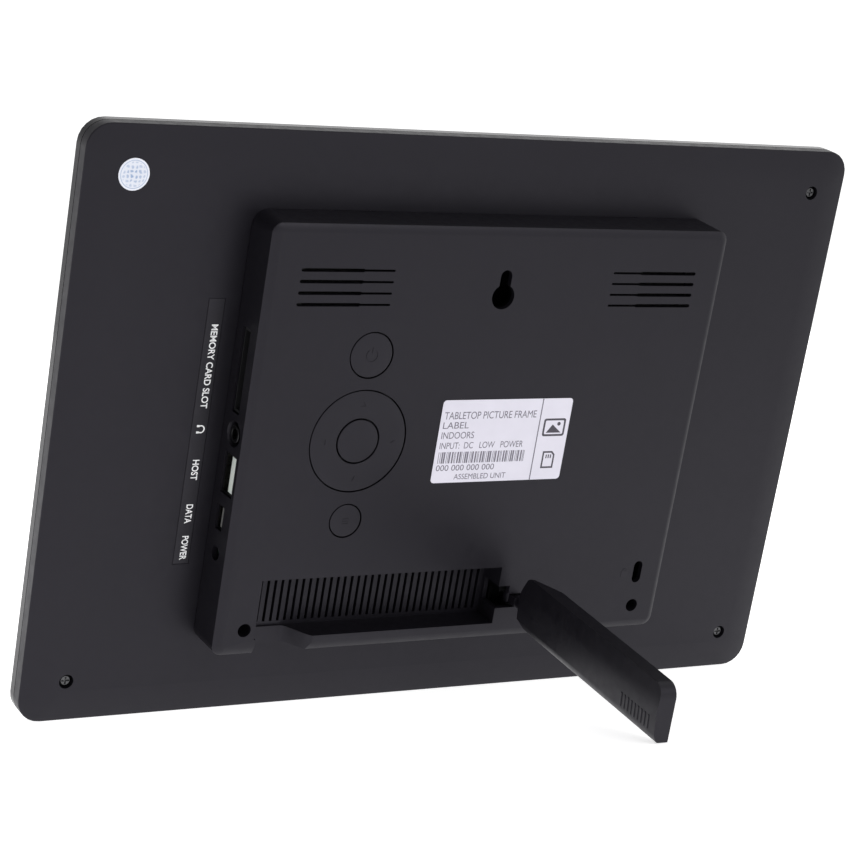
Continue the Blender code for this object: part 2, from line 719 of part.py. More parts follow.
def make_key_board():
    outline = rounded_rectangle(KEY_BOARD_X[1] - KEY_BOARD_X[0], 74.0, 1.5, (KEY_X, 2.5), 2)
    plate("button_board", [outline], KEY_BOARD_Y, shade=board_green())
    block("pin_header", (29.6, 32.2), (BOARD_Y[1] + GAP, KEY_BOARD_Y[0] - GAP), (-20.0, -4.0),
          socket_black())
    places = {
        "power": (KEY_X, POWER_Z),
        "menu": (KEY_X, MENU_Z),
        "enter": (KEY_X, PAD_Z),
        "up": (KEY_X, PAD_Z + ROCK_RADIUS),
        "down": (KEY_X, PAD_Z - ROCK_RADIUS),
        "left": (KEY_X + ROCK_RADIUS, PAD_Z),
        "right": (KEY_X - ROCK_RADIUS, PAD_Z),
    }
    bottom = KEY_BOARD_Y[1] + 0.05
    for name, (x, z) in places.items():
        rod("switch_" + name, 2.2, (x, bottom, z), (x, bottom + SWITCH_HEIGHT - 0.1, z), 12, steel())


def round_key(name, centre, radius, flange, flange_y):
    """A flush key with a softened rim, a retaining flange and a nib for its switch."""
    profile = [(0.0, KEY_TOP), (radius - 0.3, KEY_TOP), (radius, KEY_TOP - 0.3), (radius, flange_y[1]),
               (flange, flange_y[1]), (flange, flange_y[0]), (1.5, flange_y[0]),
               (1.5, NIB_BOTTOM), (0.0, NIB_BOTTOM)]
    return turned(name, profile, centre, 48, shade=key_black())


def make_keys():
    round_key("power_button", (KEY_X, POWER_Z), POWER_RADIUS, POWER_RADIUS + FLANGE_LIP, FLANGE_Y)
    round_key("menu_button", (KEY_X, MENU_Z), MENU_RADIUS, MENU_RADIUS + FLANGE_LIP, FLANGE_Y)
    round_key("enter_button", (KEY_X, PAD_Z), ENTER_RADIUS, ENTER_RADIUS + FLANGE_LIP, ENTER_FLANGE_Y)
    ring = [(RING_INNER, KEY_TOP - 0.3), (RING_INNER + 0.3, KEY_TOP), (RING_RADIUS - 0.3, KEY_TOP),
            (RING_RADIUS, KEY_TOP - 0.3), (RING_RADIUS, FLANGE_Y[1]),
            (RING_RADIUS + FLANGE_LIP, FLANGE_Y[1]), (RING_RADIUS + FLANGE_LIP, FLANGE_Y[0]),
            (RING_STEP[0], FLANGE_Y[0]), RING_STEP, (RING_INNER, RING_STEP[1])]
    turned("navigation_ring", ring, (KEY_X, PAD_Z), 72, closed=True, shade=key_black())
    inner, outer = CARRIER_RADII
    carrier = [(inner, CARRIER_Y[1]), (outer, CARRIER_Y[1]), (outer, CARRIER_Y[0]), (inner, CARRIER_Y[0])]
    turned("navigation_carrier", carrier, (KEY_X, PAD_Z), 32, closed=True, shade=key_black())


def make_speakers():
    magnet = material("speaker basket", (0.06, 0.06, 0.062), 0.5, 0.4)
    for side, x in (("left", -SPEAKER_X), ("right", SPEAKER_X)):
        frame = rounded_rectangle(38.0, 19.0, 3.0, (x, 51.8), 3)
        body = plate("speaker_" + side, [frame], (11.6, 13.9), shade=magnet)
        basket = plate(f"basket_{side}", [rounded_rectangle(30.0, 15.0, 6.0, (x, 51.8), 3)], (8.0, 12.0),
                       cutter=True)
        cone = plate(f"cone_{side}", [rounded_rectangle(31.0, 14.0, 5.0, (x, 51.8), 3)], (12.4, 15.0),
                     cutter=True)
        fuse(body, basket)
        cut(body, cone)
    make_lead("speaker_lead_right", [(60.0, 8.6, 43.6), (60.0, 8.6, 41.6), (40.0, 7.9, 41.4),
                                     (26.0, 7.4, 39.4), (24.0, 7.3, 34.0), (24.0, 7.3, 28.0)])
    make_lead("speaker_lead_left", [(-55.0, 8.6, 43.6), (-52.0, 8.6, 41.0), (-30.0, 9.0, 36.0),
                                    (-16.0, 9.4, 32.0), (-2.0, 9.3, 31.2), (6.0, 7.3, 30.0),
                                    (14.0, 7.3, 28.0)])


def make_lead(name, route):
    """A two-core lead drawn as one round wire through a smooth curve of route points."""
    curve = bpy.data.curves.new(name, "CURVE")
    curve.dimensions = "3D"
    curve.bevel_depth = 0.7 * MM
    curve.bevel_resolution = 1
    curve.use_fill_caps = True
    spline = curve.splines.new("POLY")
    smooth = smooth_route([Vector(point) for point in route], 3)
    spline.points.add(len(smooth) - 1)
    for point, place in zip(spline.points, smooth):
        point.co = (*(place * MM), 1.0)
    made = bpy.data.objects.new(name, curve)
    curve.materials.append(material("lead insulation", (0.30, 0.03, 0.03), 0.5))
    PARTS.objects.link(made)
    made.parent = PANEL


def smooth_route(points, steps):
    """Catmull-Rom points through a route."""
    padded = [points[0]] + points + [points[-1]]
    smooth = []
    for first, second, third, fourth in zip(padded, padded[1:], padded[2:], padded[3:]):
        for step in range(steps):
            t = step / steps
            smooth.append(0.5 * ((2 * second) + (third - first) * t
                                 + (2 * first - 5 * second + 4 * third - fourth) * t ** 2
                                 + (3 * second - first - 3 * third + fourth) * t ** 3))
    smooth.append(points[-1])
    return smooth


# ---------------------------------------------------------------- metalwork and fasteners

def make_keyhole_plate():
    plate("keyhole_plate", [rounded_rectangle(22.0, 22.0, 2.0, (0.0, 52.2), 3), keyhole_outline(0.15)],
          (12.9, 13.9), shade=steel())


def make_lock_plate():
    x, z, width, height = LOCK_SLOT
    outline = rounded_rectangle(9.0, 13.6, 1.0, (x, z), 2)
    hole = rounded_rectangle(width + 0.3, height + 0.3, width / 2, (x, z), 4)
    plate("lock_plate", [outline, hole], (12.9, 13.9), shade=steel())


def screw(name, centre, depth, head_radius, head_height, shank_radius, length, crossed):
    """A pan-head screw driven towards -Y whose head sits on the depth given."""
    top = depth + head_height
    profile = [(0.0, top), (head_radius * 0.75, top), (head_radius, top - head_height * 0.45),
               (head_radius, depth), (shank_radius, depth), (shank_radius, depth - length + shank_radius),
               (0.0, depth - length)]
    made = turned(name, profile, centre, 16, shade=steel())
    if crossed:
        reach = head_radius * 0.62
        for label, across, up in (("a", reach, 0.28), ("b", 0.28, reach)):
            groove = block(f"{name}_cross_{label}", (centre[0] - across, centre[0] + across),
                           (top - 0.6, top + 0.4), (centre[1] - up, centre[1] + up), cutter=True)
            cut(made, groove)
    return made


def make_screws():
    for number, place in enumerate(COVER_SCREWS, 1):
        screw(f"cover_screw_{number}", place, -0.3, 2.0, 1.3, 1.0, 5.4, True)
    for number, place in enumerate(HOUSING_SCREWS, 1):
        screw(f"housing_screw_{number}", place, 6.8, 1.9, 1.4, 1.25, 4.8, True)


def make_board_screws():
    """These are driven the other way, from the display side into the housing's posts."""
    for number, (x, z) in enumerate(BOARD_SCREWS, 1):
        head = rod(f"board_screw_{number}", 1.8, (x, 2.8, z), (x, BOARD_Y[0] - GAP, z), 16, steel())
        shank = rod(f"board_shank_{number}", 0.9, (x, BOARD_Y[0] - 0.8, z), (x, 11.0, z), 12, cutter=True)
        fuse(head, shank)


# ---------------------------------------------------------------- leg and hinge

def leg_profile():
    """Side view of the leg: distance from the hinge axis against height up the panel."""
    low, high = LEG_Z
    tip_corner = 4.5
    foot_corner = 0.3
    heel_corner = 3.4
    points = arc((LEG_LENGTH - foot_corner, low + foot_corner), foot_corner, -90.0, 0.0, 3)
    points += arc((LEG_LENGTH - tip_corner, high - tip_corner), tip_corner, 0.0, 90.0, 7)
    points += [(13.8, high), (12.5, high - 0.3), (11.6, high - 1.0), (11.1, high - 1.9),
               (9.6, high - 5.4), (9.1, -58.5)]
    points += arc((9.1 + heel_corner, low + heel_corner), heel_corner, 180.0, 270.0, 5)
    return points


def make_leg():
    """The leg, built along +Y from the hinge axis; the face seen when it is open is at +X."""
    inner = LEG_INNER
    outer = LEG_OUTER
    low, high = LEG_Z
    leg = plate("stand_leg", [leg_profile()], (outer, inner), "YZ", shade=matte_black())
    ridge_z = -53.4
    facet = [(inner - 0.97, high + 0.5), (inner, ridge_z), (inner - 0.6, low + 3.1),
             (inner - 1.45, low + 1.2), (inner - 2.7, low - 0.1), (inner - 2.7, low - 2.0),
             (inner + 2.0, low - 2.0), (inner + 2.0, high + 0.5)]
    facets = plate("leg_facets", [facet], (-LEG_LENGTH - 5.0, -5.0), "XZ", cutter=True)
    facets.rotation_euler.z = math.pi
    facets.data.transform(Matrix.Diagonal((-1, 1, 1, 1)))
    facets.data.flip_normals()
    heel = [(inner - 0.6, 10.0), (outer, 24.8), (outer - 3.0, 24.8), (outer - 3.0, 3.0), (inner - 0.6, 3.0)]
    heel_cutter = plate("leg_heel", [heel], (low - 2.0, high + 2.0), "XY", cutter=True)
    middle = sum(BARREL_Z) / 2
    root = block("leg_root", (-NECK_RADIUS, NECK_RADIUS), (0.0, 6.0), BARREL_Z, cutter=True)
    neck = rod("leg_neck", NECK_RADIUS, (0.0, 3.4, middle), (0.0, 13.0, middle), 24, cutter=True)
    barrel = rod("leg_barrel", BARREL_RADIUS, (0, 0, BARREL_Z[0]), (0, 0, BARREL_Z[1]), 32, cutter=True)
    bore = rod("leg_bore", PIN_RADIUS + GAP, (0, 0, BARREL_Z[0] - 1), (0, 0, BARREL_Z[1] + 1), 20,
               cutter=True)
    cut(leg, facets, heel_cutter)
    fuse(leg, neck, root, barrel)
    cut(leg, bore)
    turn = math.radians(LEG_OPEN_DEGREES - 90.0)
    for item in (leg, facets, heel_cutter, neck, root, barrel, bore):
        item.location = (HINGE_X * MM, HINGE_Y * MM, 0.0)
        item.rotation_euler.z += turn
    return leg


def make_hinge():
    """Bracket with two ears above and below the leg's barrel, its pin and two washers."""
    x_range = (-35.0, RECESS_X[0] - RECESS_WALL - GAP)
    bracket = block("hinge_bracket", x_range, (4.3, FACE_INSIDE - GAP), (-67.4, -50.6), steel())
    throat = block("hinge_throat", (-32.9, -10.0), (8.2, 20.0), (BARREL_Z[0] - 0.9, BARREL_Z[1] + 0.9),
                   cutter=True)
    bore = rod("hinge_bore", PIN_RADIUS + GAP, (HINGE_X, HINGE_Y, -70.0), (HINGE_X, HINGE_Y, -48.0), 20,
               cutter=True)
    cut(bracket, throat, bore)
    rod("hinge_pin", PIN_RADIUS, (HINGE_X, HINGE_Y, -66.9), (HINGE_X, HINGE_Y, -51.1), 20, steel())
    for name, low in (("lower", BARREL_Z[0] - 0.6), ("upper", BARREL_Z[1] + 0.15)):
        place = (HINGE_X, HINGE_Y)
        plate("hinge_washer_" + name, [circle(place, 3.0, 24), circle(place, PIN_RADIUS + GAP, 20)],
              (low, low + 0.45), "XY", shade=steel())


# ---------------------------------------------------------------- labels

def make_labels():
    x, z, width, height = LABEL
    low = HOUSING_FACE + LABEL_GAP
    plate("rating_label", [rounded_rectangle(width, height, 1.2, (x, z), 3)], (low, low + LABEL_THICKNESS),
          shade=paper_white())
    x, z, radius = STICKER
    low = COVER_BACK + LABEL_GAP
    plate("inspection_sticker", [circle((x, z), radius, 32)], (low, low + LABEL_THICKNESS),
          shade=paper_white())
    low = COVER_BACK - 0.25 + LABEL_GAP
    plate("port_legend", [rectangle(LEGEND_X, LEGEND_Z)], (low, low + LABEL_THICKNESS),
          shade=material("legend film", (0.05, 0.05, 0.052), 0.35))


# ---------------------------------------------------------------- placing

def moving_origins():
    """Each moving piece's origin, on its joint's axis, in panel millimetres."""
    pivot_y = sum(FLANGE_Y) / 2
    return {
        "power_button": (KEY_X, KEY_TOP, POWER_Z),
        "menu_button": (KEY_X, KEY_TOP, MENU_Z),
        "enter_button": (KEY_X, KEY_TOP, PAD_Z),
        "navigation_ring": (KEY_X, pivot_y, PAD_Z),
        "navigation_carrier": (KEY_X, pivot_y, PAD_Z),
    }


def place_key_origins():
    """Slide each key's profile along its turning axis so its origin lands on the joint."""
    for name, (x, y, z) in moving_origins().items():
        key = bpy.data.objects[name]
        key.data.transform(Matrix.Translation((0.0, 0.0, -y * MM)))
        key.location = (x * MM, y * MM, z * MM)


def lean_angle():
    """The lean that puts the leg's tip level with the slab's lower rear edge."""
    turn = math.radians(90.0 - LEG_OPEN_DEGREES)
    tip_depth = HINGE_Y + LEG_LENGTH * math.cos(turn)
    tip_height = LEG_Z[0] + FRAME_HEIGHT / 2
    return math.atan2(tip_height, tip_depth)


def world_bounds():
    graph = bpy.context.evaluated_depsgraph_get()
    low = Vector((1e9, 1e9, 1e9))
    high = -low
    for item in PARTS.objects:
        shape = item.evaluated_get(graph)
        mesh = shape.to_mesh()
        for vertex in mesh.vertices:
            point = shape.matrix_world @ vertex.co
            low = Vector(map(min, low, point))
            high = Vector(map(max, high, point))
        shape.to_mesh_clear()
    return low, high


def stand_on_origin():
    """Lean the panel, then put the origin under the middle of the object's box."""
    PANEL.rotation_euler.x = -lean_angle()
    bpy.context.view_layer.update()
    low, high = world_bounds()
    PANEL.location -= Vector(((low.x + high.x) / 2, (low.y + high.y) / 2, low.z))
    bpy.context.view_layer.update()


def main():
    global PARTS, CUTTERS, PANEL
    clear_scene()
    PARTS = new_collection("digital_photo_frame")
    CUTTERS = new_collection("cutters")
    PANEL = bpy.data.objects.new("panel_axes", None)
    bpy.context.scene.collection.objects.link(PANEL)
    make_front_bezel()
    make_screen()
    make_rear_cover()
    make_rear_housing()
    make_main_board()
    make_card_slot()
    make_headphone_jack()
    make_usb_sockets()
    make_power_inlet()
    make_display_cable()
    make_key_board()
    make_keys()
    make_speakers()
    make_keyhole_plate()
    make_lock_plate()
    make_screws()
    make_board_screws()
    make_leg()
    make_hinge()
    make_labels()
    place_key_origins()
    stand_on_origin()


main()
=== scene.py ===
"""Looks of the digital photo frame: materials, printing, key icons, grip ridges and studio.

Shapes are drawn in the panel's own millimetres, as the model was designed: +X towards the
sockets, +Y out of the back and +Z up the panel. The PANEL matrix turns such a point into the
scene, once it is in metres.
"""
import json
import math

import bmesh
import bpy
from mathutils import Matrix, Vector


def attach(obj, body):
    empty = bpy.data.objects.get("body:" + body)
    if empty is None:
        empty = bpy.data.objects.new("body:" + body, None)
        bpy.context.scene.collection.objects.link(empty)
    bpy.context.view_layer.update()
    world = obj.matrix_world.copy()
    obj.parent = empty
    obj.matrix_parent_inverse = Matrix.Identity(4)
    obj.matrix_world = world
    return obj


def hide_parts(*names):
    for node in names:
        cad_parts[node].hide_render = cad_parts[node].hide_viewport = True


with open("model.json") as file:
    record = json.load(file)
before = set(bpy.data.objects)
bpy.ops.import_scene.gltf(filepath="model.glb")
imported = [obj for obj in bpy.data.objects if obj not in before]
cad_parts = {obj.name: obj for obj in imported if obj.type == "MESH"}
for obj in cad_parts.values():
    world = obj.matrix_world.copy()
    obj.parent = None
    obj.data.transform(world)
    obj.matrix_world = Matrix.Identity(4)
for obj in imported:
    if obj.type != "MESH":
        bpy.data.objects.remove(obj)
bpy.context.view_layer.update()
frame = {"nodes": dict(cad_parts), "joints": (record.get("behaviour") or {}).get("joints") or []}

MM = 0.001
NODES = frame["nodes"]
JOINTS = {joint["name"]: joint for joint in frame["joints"]}

# The panel's axes, from the leg's hinge, whose axis runs up the panel.
HINGE_PLACE = Vector((-26.6, 12.5, -57.7))
PANEL_UP = Vector(JOINTS["leg_swing"]["axis"]).normalized()
PANEL_SIDE = Vector((1.0, 0.0, 0.0))
PANEL_OUT = PANEL_UP.cross(PANEL_SIDE)
AXES = Matrix((PANEL_SIDE, PANEL_OUT, PANEL_UP)).transposed()
PANEL_ORIGIN = Vector(JOINTS["leg_swing"]["pos_m"]) - AXES @ (HINGE_PLACE * MM)
PANEL = Matrix.Translation(PANEL_ORIGIN) @ AXES.to_4x4()

# Seen from behind, the panel's +X is to the left, so letters turn to face +Y.
FACE_BACK = Matrix(((-1, 0, 0), (0, 0, 1), (0, 1, 0))).to_4x4()

# Surfaces that pieces lie on, the gap under the printed films and their thickness, how far the
# port legend is sunk into the cover, and the thickness of printing.
HOUSING_FACE = 16.3
HOUSING_SIDE = 85.6
COVER_BACK = 1.9
FILM_GAP = 0.06
FILM_THICKNESS = 0.15
LEGEND_SUNK = 0.25
LABEL_TOP = HOUSING_FACE + FILM_GAP + FILM_THICKNESS
LEGEND_TOP = COVER_BACK - LEGEND_SUNK + FILM_GAP + FILM_THICKNESS
INK = 0.02

# Keys: where their middles lie, their radii, their rounding and engraving, and the flanges that
# hold them in the housing: the depths of a flange's two faces and its width round the key.
KEY_X = 44.7
POWER_Z = 29.9
PAD_Z = 1.2
MENU_Z = -25.9
POWER_RADIUS = 7.4
MENU_RADIUS = 5.5
ENTER_RADIUS = 7.2
KEY_ROUNDING = 0.35
ENGRAVING = 0.12
FLANGE_BACK = 13.6
FLANGE_FRONT = 13.0
FLANGE_WIDTH = 1.3

# The navigation ring's radii, and the depth of the step inside it.
RING_INNER = 7.65
RING_OUTER = 16.95
RING_FLANGE = 18.25
RING_STEP = 9.2
RING_STEP_DEPTH = 14.1

# Leg: its open angle, how far its face on the sockets' side lies from the hinge's axis, the
# height of the crease along that face and the slope of the facet below the crease.
LEG_OPEN_DEGREES = 88.0
LEG_INNER = 2.62
LEG_CREASE_Z = -53.4
LEG_FACET_SLOPE = 0.6 / 8.8

# Grip ridges on that facet: how far along the leg the first one lies, their pitch and count,
# their height on the panel, and each one's width, length and rise.
RIDGE_FIRST = 76.6
RIDGE_PITCH = 2.0
RIDGE_COUNT = 9
RIDGE_Z = -59.6
RIDGE_WIDTH = 0.9
RIDGE_LENGTH = 5.0
RIDGE_RISE = 0.18

# The round sticker's middle, as (x, z), and three distances from it in metres: over which its
# dots thin out, over which they end, and where its ring lies, with half of the ring's width.
STICKER_PLACE = (126.6, 82.1)
STICKER_THINNING = (0.0008, 0.0030)
STICKER_FIELD_END = (0.0037, 0.0041)
STICKER_RING = 0.0043
STICKER_RING_HALF = 0.00013

# Sockets: where their shells end, heights of their middles, and centres as (depth, height).
SHELL_FRONT = HOUSING_SIDE - 0.9
CARD_SLOT_Z = 22.6
USB_Z = -11.25
MINI_USB_Z = -26.3
JACK_CENTRE = (9.4, 2.1)
INLET_CENTRE = (8.6, -38.2)

# The rating label's lines, as (words, left, right, low, high), and its strip of bars, as (left,
# right, low, high), both seen from behind; then, on the panel, the divider's ranges of x and z
# and the middles of the two marks.
LABEL_LINES = (
    ("TABLETOP PICTURE FRAME", -14.3, 20.8, 8.0, 10.5),
    ("LABEL", -14.3, -4.6, 4.8, 7.0),
    ("INDOORS", -14.3, -2.0, 1.3, 3.6),
    ("INPUT:  DC   LOW   POWER", -14.3, 17.5, -2.2, 0.0),
    ("000 000 000 000", -14.3, 7.8, -9.8, -7.8),
    ("ASSEMBLED UNIT", -7.0, 12.8, -12.9, -11.0),
)
LABEL_BARS = (-14.2, 19.9, -7.2, -3.3)
LABEL_DIVIDER = ((-22.75, -22.35), (-13.9, 14.5))
PICTURE_MARK_PLACE = (-28.6, 4.4)
CARD_MARK_PLACE = (-28.4, -7.0)

# The port legend: its middle, the size of its letters across it, the heights between which each
# word fits, and the headphone symbol's height on the panel.
PORT_NAME_X = 93.05
PORT_LETTER_SIZE = 2.3
PORT_NAMES = (
    ("MEMORY CARD SLOT", 35.4, 8.0),
    ("HOST", -9.1, -15.9),
    ("DATA", -24.1, -30.5),
    ("POWER", -34.8, -42.9),
)
HEADPHONE_MARK_Z = 1.1

# The padlock's middle, as (x, z).
LOCK_MARK_PLACE = (-69.0, -50.4)

# The casing's faintly violet sheen.
COOL_SHEEN = (0.90, 0.87, 1.0)

# The floor's glow fades along FLOOR_FADE and the walls' along WALL_FADE. Each glow is its
# strength where the fade starts and where it ends, and each range holds those two distances.
FLOOR_GLOW = (1.2, 0.15)
FLOOR_FADE = (-0.35, 1.0, 0.0)
FLOOR_RANGE = (-0.35, 0.50)
WALL_GLOW = (1.2, 0.4)
WALL_FADE = (1.0, 0.5, 1.0)
WALL_RANGE = (-0.6, 0.6)

# The lamp, in metres and watts.
LAMP_PLACE = Vector((-0.3, 1.5, 0.9))
LAMP_AIM = Vector((0.0, 0.0, 0.09))
LAMP_SIZE = 1.2
LAMP_POWER = 8.0

# The camera, along the panel's axes: its place in millimetres and its lens in millimetres.
CAMERA_PLACE = Vector((444.03, 687.11, 262.5))
CAMERA_RIGHT = Vector((-0.86069, 0.48369, 0.1589))
CAMERA_FORWARD = Vector((-0.50867, -0.80377, -0.30856))
CAMERA_LENS = 109.38
SENSOR_WIDTH = 36.0

# How far the edges of the casing and the screws are rounded.
CASING_ROUNDING = {"rear_housing": 0.18, "rear_cover": 0.15, "front_bezel": 0.25, "stand_leg": 0.35}
SCREW_ROUNDING = 0.06

# Edges over these angles stay sharp, on drawn pieces and on the model's nodes.
DRAWN_SHARP_DEGREES = 35.0
NODE_SHARP_DEGREES = 32.0

# Places of the colours among a Mix node's sockets.
MIX_FIRST = 6
MIX_SECOND = 7
MIX_RESULT = 2


# ---------------------------------------------------------------- node helpers

def new_material(name):
    made = bpy.data.materials.new(name)
    made.use_nodes = True
    tree = made.node_tree
    shader = tree.nodes["Principled BSDF"]
    return made, tree, shader


def node(tree, kind, **settings):
    made = tree.nodes.new(kind)
    for key, value in settings.items():
        setattr(made, key, value)
    return made


def coordinates(tree):
    return node(tree, "ShaderNodeTexCoord").outputs["Object"]


def noise(tree, place, scale, detail=3.0):
    made = node(tree, "ShaderNodeTexNoise")
    made.inputs["Scale"].default_value = scale
    made.inputs["Detail"].default_value = detail
    tree.links.new(place, made.inputs["Vector"])
    return made.outputs["Fac"]


def remap(tree, value, low, high, start=0.3, stop=0.7):
    """Values from start to stop turned into values from low to high, and clamped to them."""
    made = node(tree, "ShaderNodeMapRange")
    made.inputs["From Min"].default_value = start
    made.inputs["From Max"].default_value = stop
    made.inputs["To Min"].default_value = low
    made.inputs["To Max"].default_value = high
    tree.links.new(value, made.inputs["Value"])
    return made.outputs["Result"]


def along(tree, place, direction):
    """How far a place lies along a direction."""
    made = node(tree, "ShaderNodeVectorMath", operation="DOT_PRODUCT")
    made.inputs[1].default_value = direction
    tree.links.new(place, made.inputs[0])
    return made.outputs["Value"]


def blend_colours(tree, factor, first, second):
    made = node(tree, "ShaderNodeMix", data_type="RGBA")
    tree.links.new(factor, made.inputs["Factor"])
    made.inputs[MIX_FIRST].default_value = (*first, 1.0)
    made.inputs[MIX_SECOND].default_value = (*second, 1.0)
    return made.outputs[MIX_RESULT]


def multiply(tree, first, second):
    made = node(tree, "ShaderNodeMath", operation="MULTIPLY")
    tree.links.new(first, made.inputs[0])
    tree.links.new(second, made.inputs[1])
    return made.outputs["Value"]


def bump(tree, shader, height, strength, distance):
    made = node(tree, "ShaderNodeBump")
    made.inputs["Strength"].default_value = strength
    made.inputs["Distance"].default_value = distance
    tree.links.new(height, made.inputs["Height"])
    tree.links.new(made.outputs["Normal"], shader.inputs["Normal"])


# ---------------------------------------------------------------- materials

def moulded(name, colour, darker, roughness, grain_scale, grain_strength, specular=0.5,
            sheen=(1.0, 1.0, 1.0)):
    """Moulded plastic: cloudy tone, uneven gloss and a fine grain."""
    made, tree, shader = new_material(name)
    place = coordinates(tree)
    cloud = noise(tree, place, 45.0, 4.0)
    tint = remap(tree, cloud, 0.0, 1.0)
    tree.links.new(blend_colours(tree, tint, darker, colour), shader.inputs["Base Color"])
    gloss = remap(tree, noise(tree, place, 320.0, 3.0), roughness - 0.04, roughness + 0.05)
    tree.links.new(gloss, shader.inputs["Roughness"])
    shader.inputs["Specular IOR Level"].default_value = specular
    shader.inputs["Specular Tint"].default_value = (*sheen, 1.0)
    bump(tree, shader, noise(tree, place, grain_scale, 2.0), grain_strength, 0.00004)
    return made


def metal(name, colour, roughness, streak=(1.0, 1.0, 1.0)):
    """Plated metal with a fine cloudy grain, which a streak scale draws out along one axis."""
    made, tree, shader = new_material(name)
    stretch = node(tree, "ShaderNodeMapping")
    stretch.inputs["Scale"].default_value = streak
    tree.links.new(coordinates(tree), stretch.inputs["Vector"])
    streaks = noise(tree, stretch.outputs["Vector"], 900.0, 4.0)
    dull = tuple(part * 0.7 for part in colour)
    tree.links.new(blend_colours(tree, remap(tree, streaks, 0.0, 1.0), dull, colour),
                   shader.inputs["Base Color"])
    tree.links.new(remap(tree, streaks, roughness, roughness + 0.15), shader.inputs["Roughness"])
    shader.inputs["Metallic"].default_value = 1.0
    bump(tree, shader, streaks, 0.15, 0.00002)
    return made


def casing_plastic():
    """The matt black of the rear housing, the cover and the leg."""
    return moulded("casing_plastic", (0.0056, 0.0050, 0.0072), (0.0047, 0.0042, 0.0062), 0.42,
                   3200.0, 0.30, 0.34, COOL_SHEEN)


def key_plastic():
    """The keys' plastic, a little lighter and glossier than the casing."""
    return moulded("key_plastic", (0.0060, 0.0054, 0.0078), (0.0051, 0.0046, 0.0066), 0.40,
                   3600.0, 0.22, 0.36, COOL_SHEEN)


def bezel_plastic():
    """Polished black with a thin clear coat."""
    made = moulded("bezel_plastic", (0.0068, 0.0064, 0.0082), (0.0055, 0.0052, 0.0068), 0.14,
                   500.0, 0.02, 0.20, COOL_SHEEN)
    shader = made.node_tree.nodes["Principled BSDF"]
    shader.inputs["Coat Weight"].default_value = 0.15
    shader.inputs["Coat Roughness"].default_value = 0.05
    return made


def screen_glass():
    """The dark front of a display that is switched off."""
    made, tree, shader = new_material("screen_glass")
    place = coordinates(tree)
    sheen = noise(tree, place, 18.0, 3.0)
    tint = remap(tree, sheen, 0.0, 1.0)
    tree.links.new(blend_colours(tree, tint, (0.006, 0.0065, 0.009), (0.009, 0.0095, 0.013)),
                   shader.inputs["Base Color"])
    tree.links.new(remap(tree, sheen, 0.10, 0.16), shader.inputs["Roughness"])
    bump(tree, shader, noise(tree, place, 6000.0, 1.0), 0.04, 0.00001)
    return made


def board():
    """Solder mask with faint copper tracks under it."""
    made, tree, shader = new_material("circuit_board")
    place = coordinates(tree)
    tracks = node(tree, "ShaderNodeTexBrick")
    tracks.inputs["Scale"].default_value = 240.0
    tracks.inputs["Mortar Size"].default_value = 0.05
    tracks.inputs["Color1"].default_value = (0.010, 0.085, 0.035, 1.0)
    tracks.inputs["Color2"].default_value = (0.012, 0.10, 0.042, 1.0)
    tracks.inputs["Mortar"].default_value = (0.03, 0.17, 0.07, 1.0)
    tree.links.new(place, tracks.inputs["Vector"])
    tree.links.new(tracks.outputs["Color"], shader.inputs["Base Color"])
    tree.links.new(remap(tree, noise(tree, place, 200.0), 0.28, 0.42), shader.inputs["Roughness"])
    bump(tree, shader, tracks.outputs["Fac"], 0.2, 0.00003)
    return made


def printed_film(name, colour, roughness=0.42, specular=0.5):
    """Label stock: almost even, with a slight ripple from its glue."""
    made, tree, shader = new_material(name)
    place = coordinates(tree)
    darker = tuple(part * 0.93 for part in colour)
    tint = remap(tree, noise(tree, place, 90.0), 0.0, 1.0)
    tree.links.new(blend_colours(tree, tint, darker, colour), shader.inputs["Base Color"])
    tree.links.new(remap(tree, noise(tree, place, 260.0), roughness - 0.05, roughness + 0.06),
                   shader.inputs["Roughness"])
    shader.inputs["Specular IOR Level"].default_value = specular
    shader.inputs["Specular Tint"].default_value = (*COOL_SHEEN, 1.0)
    bump(tree, shader, noise(tree, place, 140.0, 2.0), 0.10, 0.00006)
    return made


def ink(name, colour):
    """Dry printing, slightly uneven."""
    made, tree, shader = new_material(name)
    place = coordinates(tree)
    lighter = tuple(min(part * 1.3 + 0.01, 1.0) for part in colour)
    tree.links.new(blend_colours(tree, remap(tree, noise(tree, place, 1800.0), 0.0, 1.0), colour, lighter),
                   shader.inputs["Base Color"])
    tree.links.new(remap(tree, noise(tree, place, 600.0), 0.45, 0.6), shader.inputs["Roughness"])
    bump(tree, shader, noise(tree, place, 4000.0), 0.05, 0.00001)
    return made


